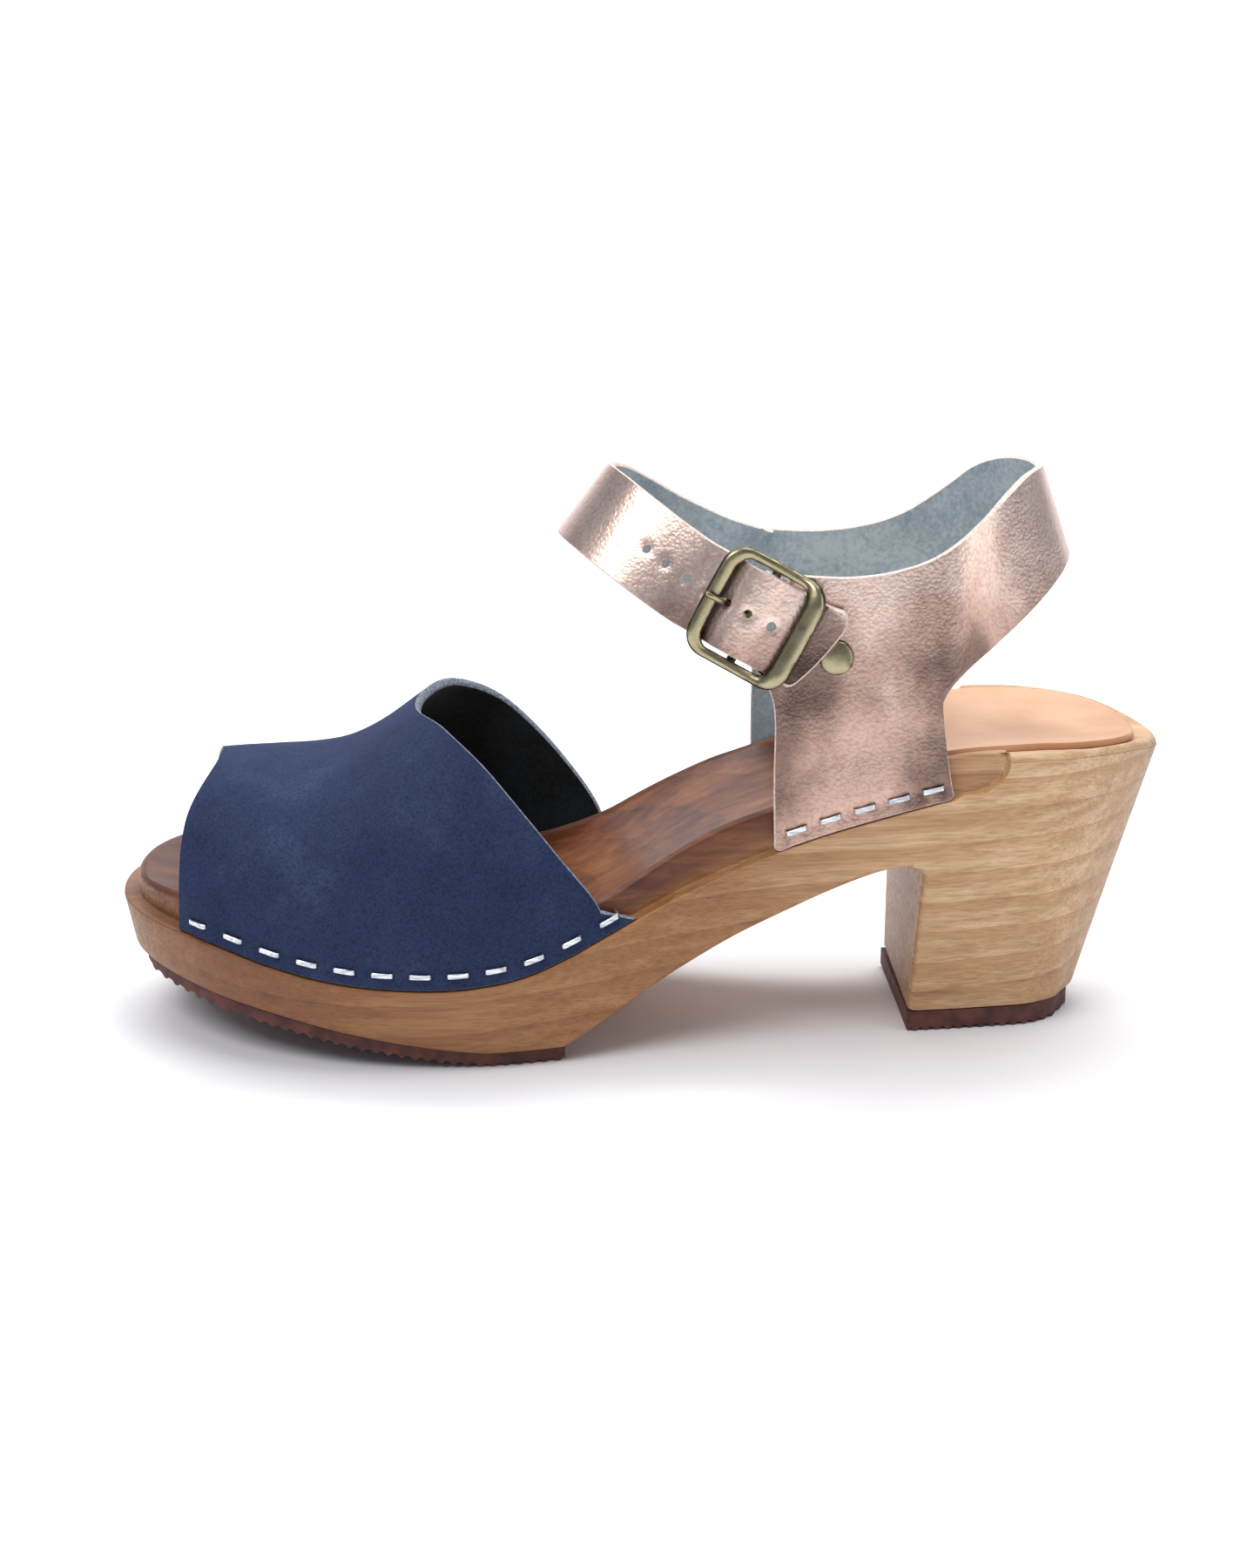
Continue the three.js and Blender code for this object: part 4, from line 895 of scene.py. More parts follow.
# ------------------------------------------------------------------ rubber
def tread_slab(name, xs, sides_at, top_at, thickness, material, pitch, depth):
    """Rubber with ridges across its underside; sides_at(x) gives its two edges."""
    low, high = sides_at(xs)
    across = np.sin(np.linspace(-0.5, 0.5, 23) * math.pi) * 0.5 + 0.5
    y = low[:, None] + (high - low)[:, None] * across
    x = np.repeat(xs[:, None], len(across), axis=1)
    top = np.repeat(top_at(xs)[:, None], len(across), axis=1)
    wave = (x + 0.02 * (y - 0.3 * y * np.abs(y) / 40)) / pitch % 1
    groove = depth * smoothstep(wave, 0.0, 0.28) * (1 - smoothstep(wave, 0.55, 0.82))
    base = top - thickness + groove
    outer = np.stack([x, y, top], axis=-1)
    inner = np.stack([x, y, base], axis=-1)
    rows, columns = x.shape
    ring = border(rows, columns)
    i, j = ring[:, 0], ring[:, 1]
    upper = i * columns + j
    lower = rows * columns + upper
    walls = np.stack([upper, np.roll(upper, -1), np.roll(lower, -1), lower], axis=-1)
    faces = np.concatenate([grid_faces(rows, columns),
                            grid_faces(rows, columns, rows * columns, flip=True), walls])
    vertices = np.concatenate([outer.reshape(-1, 3), inner.reshape(-1, 3)])
    made = make_object(name, vertices, faces, [material], crease_degrees=40)
    face_outwards(made)
    return made


def outsole_sides(xs):
    return (edge_y(-1, xs, OUTSOLE_INSET, wood_bottom), edge_y(1, xs, OUTSOLE_INSET, wood_bottom))


def heel_sides(xs):
    height = lambda x: np.full(np.shape(x), TOP_PIECE / 2)
    return edge_y(-1, xs, 0.4, height), edge_y(1, xs, 0.4, height)


# ------------------------------------------------------------------ heel pad
PAD_LENGTH = 66.0
PAD_WIDTH = 54.0
PAD_CENTRE_X = HEEL_X - 7 - PAD_LENGTH / 2


def heel_pad(material, thickness):
    q = np.arange(180) * 2 * math.pi / 180

    def ring(f, lift):
        bulge = lambda v: np.sign(v) * np.abs(v) ** 0.84
        x = PAD_CENTRE_X - bulge(np.cos(q)) * PAD_LENGTH / 2 * f
        y = -bulge(np.sin(q)) * PAD_WIDTH / 2 * f
        return np.stack([x, y, footbed(x, y) + CLEARANCE + lift], axis=-1)

    rings = [ring(f, 0) for f in (0.05, 0.25, 0.5, 0.75, 0.9, 0.995)]
    rings += [ring(f, h * thickness) for f, h in ((1, 0.2), (1, 0.6), (0.995, 0.85), (0.98, 0.98))]
    rings += [ring(f, thickness) for f in (0.96, 0.9, 0.8, 0.65, 0.5, 0.35, 0.2, 0.05)]
    return stacked_rings("heel_pad", rings, [material], crease_degrees=50)


# ------------------------------------------------------------------ staples
STAPLE_LENGTH = 5.2
STAPLE_RISE = 3.6
STAPLE_GAUGE = 0.6
STAPLE_WIDTH = 1.2
STAPLE_LEG = 6.0
VAMP_STAPLES = 12
QUARTER_STAPLES = 5

crown_height = curve([(-110, 61.6), (-100, 62.6), (-88, 63.4), (-78, 64.2), (-70, 66), (-62, 70.2),
                      (-53.2, 76.8), (-44, 84), (-28, 92), (-10, 99), (0, 102)])
vamp_front_x = curve([(0, -108.7), (0.25, -106.8), (0.5, -101.2), (0.75, -105.2), (1, -107.5)])
vamp_rear_x = curve([(0, -2.4), (0.06, -10.5), (0.13, -20.5), (0.24, -34), (0.36, -46), (0.5, -53.2),
                     (0.64, -45.5), (0.76, -31), (0.87, -17), (0.94, -8), (1, -1)])
QUARTER_FRONT_X = 29.4
QUARTER_REAR_X = 70.6


def ledge_top(x):
    return ledge_height(x) + CLEARANCE


def staple_row(leather):
    """X of each staple of a row, from front to back."""
    if leather == "vamp":
        return np.linspace(vamp_front_x(0) + 5.2, vamp_rear_x(0) - 6.4, VAMP_STAPLES)
    return np.linspace(QUARTER_FRONT_X + 5, QUARTER_REAR_X - 5, QUARTER_STAPLES)


def leather_foot(side, x, rise):
    """Point of the leather's outer face near its stapled edge."""
    x = np.asarray(x, float)
    return np.stack([x, edge_y(side, x, LEATHER_REVEAL, ledge_top), ledge_top(x) + rise], axis=-1)


def staple_frames(side, leather):
    """Centre of each staple, and the directions along the edge and outwards."""
    xs = staple_row(leather)
    centre = leather_foot(side, xs, STAPLE_RISE)
    along = unit(leather_foot(side, xs + 1, STAPLE_RISE) - leather_foot(side, xs - 1, STAPLE_RISE))
    out = unit(np.cross(UP, along)) * side
    return centre, along, out


def pressed(points, side, leather, depth, reach_along, reach_up):
    """How deep the staples press the leather at each point."""
    centres, alongs, _ = staple_frames(side, leather)
    total = np.zeros(points.shape[:-1])
    for centre, along in zip(centres, alongs):
        offset = points - centre
        run = offset @ along
        lift = offset[..., 2] - along[2] * run
        for end in (-1, 1):
            d = ((run - end * STAPLE_LENGTH * 0.45) / reach_along) ** 2 + (lift / reach_up) ** 2
            near = np.abs(offset @ np.cross(along, UP)) < 4
            total += depth * np.exp(-d) * near
    return total


# ------------------------------------------------------------------ vamp
VAMP_STAND = 6.5


def vamp_points(u, v):
    """Points of the vamp's outer face; u runs 0..1 from the outer to the inner edge of the foot."""
    x = lerp(vamp_front_x(u), vamp_rear_x(u), v)
    yl = edge_y(-1, x, LEATHER_REVEAL, ledge_top)
    ym = edge_y(1, x, LEATHER_REVEAL, ledge_top)
    standing = 0.06
    centre = (yl + ym) / 2
    half = (ym - yl) / 2
    side = np.where(u < 0.5, -1, 1)
    e = np.minimum(u, 1 - u)
    base = ledge_top(x)
    q = np.clip((e - standing) / (0.5 - standing), 0, 1) * np.pi / 2
    power = 2 / 2.35
    y = centre + side * half * np.abs(np.cos(q)) ** power
    z = base + VAMP_STAND * np.minimum(e / standing, 1)
    z = z + (crown_height(x) - base - VAMP_STAND) * np.sin(q) ** power
    return np.stack([x, y, z], axis=-1)


def vamp(materials, thickness):
    edge = np.concatenate([np.linspace(0, 0.06, 15)[:-1], 0.06 + 0.44 * np.linspace(0, 1, 76) ** 1.25])
    across = np.concatenate([edge, 1 - edge[:-1][::-1]])
    v = np.linspace(0, 1, 120)
    grid = vamp_points(np.repeat(across[:, None], len(v), axis=1), np.repeat(v[None, :], len(across), axis=0))
    for side in (-1, 1):
        dent = pressed(grid, side, "vamp", 0.32, 1.3, 1.6)
        grid = grid - grid_normals(grid) * dent[..., None]
    return leather_sheet("vamp", grid, thickness, materials, softness=0.3)


# ------------------------------------------------------------------ heel strap, quarters and buckle tab
HEEL_TOP = [(94, 0, 133.2), (92.6, -7, 133.3), (88.3, -14.5, 132.4), (82.5, -21.8, 129), (76.1, -26, 123.4),
            (70.5, -28.2, 119.2), (67.6, -28.9, 117.4)]
HEEL_BOTTOM = [(101.6, 0, 111.9), (99.6, -7.6, 110), (94.8, -14.8, 106), (88, -21.6, 101),
               (79.6, -27, 94.9), (72.2, -30.4, 89.2), (69.2, -31.4, 86)]
QUARTER_TOP = [(32.7, -29.4, 112.4), (34.4, -29.8, 112.4), (40, -30, 112.1), (46, -30.3, 112),
               (54, -30.2, 112.8), (62, -29.6, 114.8), (66.6, -29.1, 116.8), (67.6, -28.9, 117.4)]
quarter_top_y = curve([(x, y) for x, y, _ in QUARTER_TOP])
quarter_top_z = curve([(x, z) for x, _, z in QUARTER_TOP])
# Lines of the quarter that end on its rear and front edges: (top x, edge x, edge z).
REAR_FAN = [(65.5, 67.6, 82.6), (61.5, 67.9, 78), (57.5, 68.6, 72.8), (53.5, 69.4, 67.6), (50, 70.2, 63),
            (48.4, 70.5, 61.5)]
FRONT_FAN = [(43, 29.5, 49.4), (42.3, 29.4, 51.4), (41.2, 29.3, 56), (39.8, 29.2, 61.6), (38.4, 29.2, 67.4),
             (37, 29.3, 73.2), (35.6, 29.3, 78.6), (34.5, 28.8, 83.4), (33.5, 27.4, 87.3)]


def quarter_point(side, x, z):
    """Point of the quarter's outer face above the ledge at x."""
    foot = leather_foot(side, x, 0)
    top_y, top_z = quarter_top_y(x), quarter_top_z(x)
    share = (top_z - z) / (top_z - foot[2])
    return np.array([x, lerp(-side * top_y, foot[1], share), z])


def quarter_rulings(side):
    """Lines (top, middle, bottom) that fan down the rear edge, along the foot and up the front edge."""
    foot_x = np.linspace(QUARTER_REAR_X - 1.0, QUARTER_FRONT_X + 1.0, 14)
    along_foot = [(top, x, float(ledge_top(x))) for top, x in zip(np.linspace(47.6, 43.6, 14), foot_x)]
    rulings = []
    for top_x, x, z in REAR_FAN + along_foot + FRONT_FAN:
        top_z = float(quarter_top_z(top_x))
        middle = quarter_point(side, (top_x + x) / 2, (top_z + z) / 2)
        rulings.append([quarter_point(side, top_x, top_z), middle, quarter_point(side, x, z)])
    return rulings


def shoulder_rulings(rise, flip, top_rises):
    places = ((3.2, 0), (2.4, rise * 0.4), (SHOULDER_END, rise))
    tops = [local(a, HALF_STRAP + more, n) for (a, n), more in zip(places, top_rises)]
    bottoms = [local(7.2, -HALF_STRAP - 1.0, 0.1), local(4.2, -HALF_STRAP - 0.3, rise * 0.4),
               local(SHOULDER_END, -HALF_STRAP, rise)]
    return [[t * flip, (t + b) / 2 * flip, b * flip] for t, b in zip(tops, bottoms)]


TAB_LENGTH = 26.0
INNER_TOP_RISE = 1.6  # the inner strap is wider where it leaves the quarter


def tab_rulings():
    """The strap's end, folded round the buckle's centre bar and turned back inside."""
    outside = BAR_RADIUS + CLEARANCE + FOLD_THICKNESS
    places = [(-outside * math.sin(q), BAR_N + outside * math.cos(q)) for q in np.linspace(0, math.pi, 9)]
    under = -(2 * STRAP_THICKNESS + CLEARANCE)
    places += [(4, BAR_N - outside), (8, under), (15, under), (TAB_LENGTH, under)]
    return [[local(a, HALF_STRAP, n), local(a, 0, n), local(a, -HALF_STRAP, n)] for a, n in places]


def down_rulings(rulings, rows):
    """Rows of points down each line, on the parabola through its three points."""
    f = np.linspace(0, 1, rows)[:, None]
    made = []
    for top, middle, bottom in rulings:
        made.append(top * (1 - f) * (1 - 2 * f) + middle * 4 * f * (1 - f) + bottom * f * (2 * f - 1))
    return np.array(made)


def ankle_leather(materials):
    heel = [[np.array(t, float), (np.array(t) + np.array(b)) / 2, np.array(b, float)]
            for t, b in zip(HEEL_TOP, HEEL_BOTTOM)]
    across = lambda rulings: [[p * MIRROR for p in r] for r in rulings]
    lateral = heel + quarter_rulings(-1) + shoulder_rulings(FOLD_RISE, np.ones(3), (1.4, 0.5, 0))
    medial = across(heel[1:]) + quarter_rulings(1) + shoulder_rulings(0, MIRROR, (1.8, 1.7, INNER_TOP_RISE))
    tab = tab_rulings()
    rulings = tab[::-1] + lateral[::-1] + medial
    coarse = down_rulings(rulings, 41)
    thin = [FOLD_THICKNESS if 4 <= i <= len(tab) else STRAP_THICKNESS for i in range(len(rulings))]
    steps = steps_for(coarse, 1.5)
    fine = through(coarse, steps)
    thickness = np.interp(np.arange(len(fine)), np.concatenate([[0], np.cumsum(steps)]), thin)
    normals = steady_normals(fine, int(sum(steps[:len(tab) + 2])))
    dent = pressed(fine, -1, "quarter", 0.4, 1.2, 1.3) + pressed(fine, 1, "quarter", 0.4, 1.2, 1.3)
    fine = fine - normals * (dent + puckers(fine))[..., None]
    return leather_sheet("ankle_leather", fine, thickness, materials, softness=0.28, square_end=True,
                         normals=normals)


def steady_normals(grid, tab_rows):
    """Normals of the strip. The quarters are nearly flat, so theirs are those of a leaning plane."""
    x, y, z = grid[..., 0], grid[..., 1], grid[..., 2]
    flat = smoothstep(x, 24, 31) * (1 - smoothstep(x, 68, 76)) * (1 - smoothstep(z, 96, 108))
    flat[:tab_rows] = 0
    leaning = unit(np.stack([np.zeros_like(x), np.sign(y), np.full_like(x, 0.07)], axis=-1))
    return unit(lerp(grid_normals(grid), leaning, flat[..., None]))


def puckers(points):
    """Slow ripples where the leather is pulled between the buckle, the rivet and the staples."""
    x, z = points[..., 0], points[..., 2]
    wave = np.sin(x * 0.31 + z * 0.17) * 0.5 + np.sin(x * 0.12 - z * 0.26 + 1.3) * 0.6
    above_wood = smoothstep(z - ledge_height(np.clip(x, TOE_X, HEEL_X)), 9, 20)
    below_strap = 1 - smoothstep(z + 0.52 * (x - 24.5), 92, 104)
    return 0.22 * wave * above_wood * below_strap


def strap_slot(material):
    """Cutter for the prong's slot in the fold."""
    corners = np.array([(a, b, n) for a in (-1, 1) for b in (-1, 1) for n in (-1, 1)], float)
    corners = corners * (6.2, 1.7, 4.7) + (-0.6, 0, BAR_N + 0.6)
    faces = [(0, 1, 3, 2), (4, 6, 7, 5), (0, 4, 5, 1), (2, 3, 7, 6), (0, 2, 6, 4), (1, 5, 7, 3)]
    made = make_object("slot_cutter", placed_by(BUCKLE, corners), faces, [material])
    face_outwards(made)
    return made


def hole_cutter(centre, along, down, radius, material, length=6.0):
    out = np.cross(along, down)
    matrix = np.eye(4)
    matrix[:3, 0], matrix[:3, 1], matrix[:3, 2], matrix[:3, 3] = along, out, np.cross(along, out), centre
    profile = [(0, -length), (radius, -length), (radius, length), (0, length)]
    return turned("hole_cutter", [(max(r, 1e-3), h) for r, h in profile], matrix, [material], count=28)


# ------------------------------------------------------------------ front strap
STRAP_SPLIT = -15.2
TIP_RULINGS = [(14.4, 12.6), (17.2, 13.6), (19.4, 14.6)]


def strap_middle():
    """Middle line of the front strap's outer face and its direction down across it, from the inner
    quarter round the front and through the buckle."""
    b = AXIS_B
    around_front = [((5.6, -24, 113.6), (-9.7, -2.8, -17.7)), ((-2, -19.4, 118.9), (-11.3, -3.4, -16.5)),
                    ((-9.4, -11.4, 123.7), (-12.2, -2, -15.9)), ((-13.4, 0, 125.6), (-11.8, 0, -15.6))]
    rows = [(local(SHOULDER_END, 0, 0) * MIRROR, -b * MIRROR), (local(-7, 0, -0.1) * MIRROR, -b * MIRROR),
            (local(STRAP_SPLIT, 0, -0.4) * MIRROR, -b * MIRROR)]
    rows += [(np.array(c) * MIRROR, unit(np.array(d, float)) * MIRROR) for c, d in around_front]
    rows += [(np.array(c, float), unit(np.array(d, float))) for c, d in around_front[-2::-1]]
    rows += [(local(a, 0, float(threaded_face(a))), -b) for a in
             (STRAP_SPLIT, -13.4, -11.8, -10.4, -9, -7.6, -6.2, -4.6, -2.4, 0, 3, 6, 9, 11.4)]
    return rows


def front_strap(materials, edge_material, hole_radius):
    rows = strap_middle()
    lines = np.array([[c - d * HALF_STRAP, c, c + d * HALF_STRAP] for c, d in rows])
    for k, rise in enumerate((INNER_TOP_RISE, 0.3)):
        lines[k, 0] -= rows[k][1] * rise
    tip = []
    for a, low in TIP_RULINGS:
        top = local(a, HALF_STRAP, float(threaded_face(a)))
        bottom = local(low, -HALF_STRAP, float(threaded_face(low)))
        tip.append([top, (top + bottom) / 2, bottom])
    coarse = down_rulings(list(lines) + tip, 37)
    fine = through(coarse, steps_for(coarse, 0.75))
    fine = round_tip(fine)
    middle = fine[:, 18]
    run = np.concatenate([[0], np.cumsum(np.linalg.norm(np.diff(middle, axis=0), axis=1))])
    at_bar = run[np.argmin(np.linalg.norm(middle - local(0, 0, float(threaded_face(0))), axis=1))]
    holes = [at_bar + PRONG_HOLE + k * HOLE_PITCH for k in (-4, -3, -2, -1, 0, 1, 2)]
    normals = grid_normals(fine)
    cutters = []
    for reach in holes:
        i = int(np.argmin(np.abs(run - reach)))
        centre = middle[i]
        distance = np.linalg.norm(fine - centre, axis=-1)
        fine = fine - normals * (0.15 * np.exp(-(distance / 1.75) ** 4))[..., None]
        down = unit(fine[i, 24] - fine[i, 12])
        heading = unit(np.cross(down, normals[i, 18]))
        cutters.append(hole_cutter(centre, heading, down, hole_radius, edge_material))
    thickness = STRAP_THICKNESS
    strap = leather_sheet("front_strap", fine, thickness, materials, softness=0.28, square_start=True)
    return combine(strap, cutters, "DIFFERENCE", crease_degrees=50)


def round_tip(grid):
    """Round the two corners of the strap's end, the upper one more."""
    rows, columns = grid.shape[:2]
    f = np.linspace(0, 1, columns)
    pull = 2.6 * (1 - np.sqrt(np.clip(1 - (1 - np.clip(f / 0.2, 0, 1)) ** 2, 0, 1)))
    pull += 1.2 * (1 - np.sqrt(np.clip(1 - (1 - np.clip((1 - f) / 0.1, 0, 1)) ** 2, 0, 1)))
    pull -= 0.9 * 4 * f * (1 - f)
    reach = 12
    for k in range(reach):
        i = rows - reach + k
        share = ((k + 1) / reach) ** 1.5
        grid[i] = grid[i] - AXIS_A * (pull * share)[:, None]
    return grid


# ------------------------------------------------------------------ buckle, prong and rivet
def buckle_path():
    corner = 4.2
    half_a, half_b = BUCKLE_LENGTH / 2, BUCKLE_WIDTH / 2
    points = []
    for ca, cb, start in ((1, 1, 0), (-1, 1, 90), (-1, -1, 180), (1, -1, 270)):
        for q in np.radians(np.linspace(start, start + 90, 14)):
            points.append((ca * (half_a - corner) + corner * math.cos(q),
                           cb * (half_b - corner) + corner * math.sin(q)))
    closed = np.array(points + points[:1])
    fine = []
    for p, r in zip(closed[:-1], closed[1:]):
        steps = max(1, int(np.linalg.norm(r - p) / 0.7))
        fine += [lerp(p, r, k / steps) for k in range(steps)]
    fine = np.array(fine)
    bow_a = 0.55 * (1 - (fine[:, 1] / half_b) ** 2) * np.sign(fine[:, 0]) * smoothstep(abs(fine[:, 0]), 5, 10)
    bow_b = 0.35 * (1 - (fine[:, 0] / half_a) ** 2) * np.sign(fine[:, 1]) * smoothstep(abs(fine[:, 1]), 6, 11)
    heights = rail_height(fine[:, 0])
    return np.stack([fine[:, 0] + bow_a * 0.6, fine[:, 1] + bow_b * 0.6, heights], axis=-1)


def buckle_frame(material):
    path = buckle_path()

    def section(i, q):
        a = path[i, 0]
        share = float(smoothstep(abs(a), BUCKLE_LENGTH * 0.275, BUCKLE_LENGTH * 0.5))
        radius = lerp(RAIL, FRONT_BAR if a < 0 else REAR_BAR, share)
        wide = lerp(1.2, 1.7 if a < 0 else 2.3, share)
        c, s = np.cos(q), np.sin(q)
        # The outer edge keeps its place; the bar is as wide again towards the opening.
        reach = np.where(c > 0, radius * c, (2 * wide - radius) * c)
        return reach, radius * np.sign(s) * np.abs(s) ** 0.8

    loop = sweep("buckle_frame", path, 28, section, [material], True, UP, crease_degrees=60)
    move_to(loop, BUCKLE)
    across = np.linspace(-BUCKLE_WIDTH / 2, BUCKLE_WIDTH / 2, 9)
    bar_path = np.stack([np.zeros(9), across, np.full(9, BAR_N)], axis=-1)
    round_bar = lambda i, q: (BAR_RADIUS * np.cos(q), BAR_RADIUS * np.sin(q))
    bar = sweep("bar", bar_path, 24, round_bar, [material], False, UP)
    move_to(bar, BUCKLE)
    parts = [bar]
    top = float(rail_height(0)) + 0.2
    for side in (-1, 1):
        heights = np.linspace(BAR_N - BAR_RADIUS, top, 7)
        lug_path = np.array([(0, side * BUCKLE_WIDTH / 2, n) for n in heights])
        lug = sweep("lug", lug_path, 24, lambda i, q: (1.25 * np.cos(q), 1.0 * np.sin(q)), [material], False,
                    np.array([1.0, 0, 0]))
        move_to(lug, BUCKLE)
        parts.append(lug)
    combine(loop, parts, crease_degrees=50)
    paint_worn(loop, AXIS_N)
    return loop


def move_to(piece, matrix):
    """Carry a piece drawn in the buckle's own frame to its place."""
    mesh = piece.data
    co = np.empty(len(mesh.vertices) * 3)
    mesh.vertices.foreach_get("co", co)
    drawn = co.reshape(-1, 3) / MM - DRAWING_OFFSET
    placed = (placed_by(matrix, drawn) + DRAWING_OFFSET) * MM
    mesh.vertices.foreach_set("co", placed.reshape(-1))
    mesh.update()


def paint_worn(piece, out):
    """Store how much each vertex faces outwards, where handling rubs the plating bright."""
    mesh = piece.data
    normals = np.array([v.vector[:] for v in mesh.vertex_normals])
    layer = mesh.attributes.new("worn", "FLOAT", "POINT")
    layer.data.foreach_set("value", np.clip(normals @ out, 0, 1))


PRONG_RADIUS = 0.8
PRONG_LENGTH = 12.8


def buckle_prong(material):
    tip_n = FRONT_BAR_N + FRONT_BAR + CLEARANCE + PRONG_RADIUS
    stops = np.array([(-1.9, 0, BAR_N + 0.1), (-4.2, 0, -0.6), (PRONG_HOLE + 0.2, 0, 1.3),
                      (-9, 0, tip_n - 0.9), (-11, 0, tip_n + 0.1), (-PRONG_LENGTH, 0, tip_n)])
    path = through(stops[:, None], steps_for(stops[:, None], 0.3))[:, 0]
    count = len(path)

    def section(i, q):
        end = max(0.0, 1 - (count - 1 - i) * 0.28)
        radius = PRONG_RADIUS * math.sqrt(max(1 - end * end, 0.02))
        return 1.12 * radius * np.cos(q), 0.95 * radius * np.sin(q)

    wire = sweep("buckle_prong", path, 18, section, [material], False, np.array([0, 1.0, 0]), 60)
    move_to(wire, BUCKLE)
    eye_radius = BAR_RADIUS + CLEARANCE
    q = np.linspace(0, 2 * math.pi, 17)
    profile = [(eye_radius + 0.55 + 0.55 * math.cos(v), 1.2 * math.sin(v)) for v in q[:-1]]
    profile.append(profile[0])
    at_bar = BUCKLE.copy()
    at_bar[:3, 3] = local(0, 0, BAR_N)
    eye = turned("eye", profile, at_bar, [material], count=40)
    combine(wire, [eye], crease_degrees=50)
    paint_worn(wire, AXIS_N)
    return wire


RIVET_HEAD = 3.9
RIVET_HEIGHT = 1.3
RIVET_SHANK = 1.2
BURR_THICKNESS = 0.9


def rivet_matrix():
    matrix = np.eye(4)
    matrix[:3, 0], matrix[:3, 1], matrix[:3, 2] = AXIS_A, AXIS_N, -AXIS_B
    matrix[:3, 3] = local(RIVET_FROM_BAR, 0.4, 0)
    return matrix


def strap_rivet(material):
    end = -(2 * STRAP_THICKNESS + 3 * CLEARANCE + BURR_THICKNESS)
    dome = [(RIVET_HEAD * math.sin(q), CLEARANCE + 0.25 + (RIVET_HEIGHT - 0.25) * math.cos(q))
            for q in np.radians(np.linspace(2, 90, 16))]
    profile = dome + [(RIVET_HEAD * 0.99, CLEARANCE + 0.08), (RIVET_HEAD * 0.94, CLEARANCE),
                      (RIVET_SHANK, CLEARANCE), (RIVET_SHANK, end - CLEARANCE),
                      (RIVET_SHANK + 0.9, end - CLEARANCE), (RIVET_SHANK + 0.8, end - 0.8),
                      (RIVET_SHANK + 0.2, end - 1.05), (0.05, end - 1.1)]
    rivet = turned("strap_rivet", profile, rivet_matrix(), [material], count=64)
    paint_worn(rivet, AXIS_N)
    return rivet


def rivet_burr(material):
    hole = RIVET_SHANK + CLEARANCE
    rim = 3.5
    top = -(2 * STRAP_THICKNESS + 2 * CLEARANCE)
    low = top - BURR_THICKNESS
    profile = [(hole, low), (rim - 0.2, low), (rim, low + 0.2), (rim, top - 0.2), (rim - 0.2, top),
               (hole, top), (hole, low)]
    burr = turned("rivet_burr", profile, rivet_matrix(), [material], count=48)
    paint_worn(burr, -AXIS_N)
    return burr


# ------------------------------------------------------------------ staples by geometry nodes
def wire_lines(side, leather):
    """Bent centre line of each staple: a leg, the crown on the leather, and the other leg."""
    lines = []
    half = (STAPLE_LENGTH - STAPLE_GAUGE) / 2
    bend = 0.55
    top = STAPLE_GAUGE / 2 + 0.15
    for centre, along, out in zip(*staple_frames(side, leather)):
        profile = [(-half, top - STAPLE_LEG), (-half, top - 2.5)]
        profile += [(-half + bend * (1 - math.cos(q)), top - bend * (1 - math.sin(q)))
                    for q in np.radians([0, 30, 60, 90])]
        profile += [(0, top + 0.05)]
        profile += [(-s, h) for s, h in profile[-2::-1]]
        lines.append([centre + along * s + out * h for s, h in profile])
    return lines


def staple_tree(name, material):
    """Tree that gives the lines of a mesh a flat wire section."""
    tree = bpy.data.node_groups.new(name, "GeometryNodeTree")
    tree.interface.new_socket("Geometry", in_out="INPUT", socket_type="NodeSocketGeometry")
    tree.interface.new_socket("Wire width", in_out="INPUT", socket_type="NodeSocketFloat")
    tree.interface.new_socket("Wire gauge", in_out="INPUT", socket_type="NodeSocketFloat")
    tree.interface.new_socket("Geometry", in_out="OUTPUT", socket_type="NodeSocketGeometry")
    given = add_node(tree, "NodeGroupInput")
    wires = add_node(tree, "GeometryNodeMeshToCurve", {"Mesh": given.outputs["Geometry"]})
    flat = add_node(tree, "GeometryNodeSetCurveNormal", {"Curve": wires.outputs["Curve"]}, mode="Z_UP")
    section = add_node(tree, "GeometryNodeCurvePrimitiveQuadrilateral",
                       {"Width": given.outputs["Wire gauge"], "Height": given.outputs["Wire width"]})
    rounded = add_node(tree, "GeometryNodeFilletCurve", {
        "Curve": section.outputs["Curve"], "Radius": 0.00012})
    swept = add_node(tree, "GeometryNodeCurveToMesh", {
        "Curve": flat.outputs["Curve"], "Profile Curve": rounded.outputs[0], "Fill Caps": True})
    real = add_node(tree, "GeometryNodeRealizeInstances", {"Geometry": swept.outputs["Mesh"]})
    finished = add_node(tree, "GeometryNodeSetMaterial",
                        {"Geometry": real.outputs["Geometry"], "Material": material})
    add_node(tree, "NodeGroupOutput", {"Geometry": finished.outputs["Geometry"]})
    return tree


def set_input(modifier, name, value):
    for item in modifier.node_group.interface.items_tree:
        if item.item_type == "SOCKET" and item.in_out == "INPUT" and item.name == name:
            modifier[item.identifier] = value


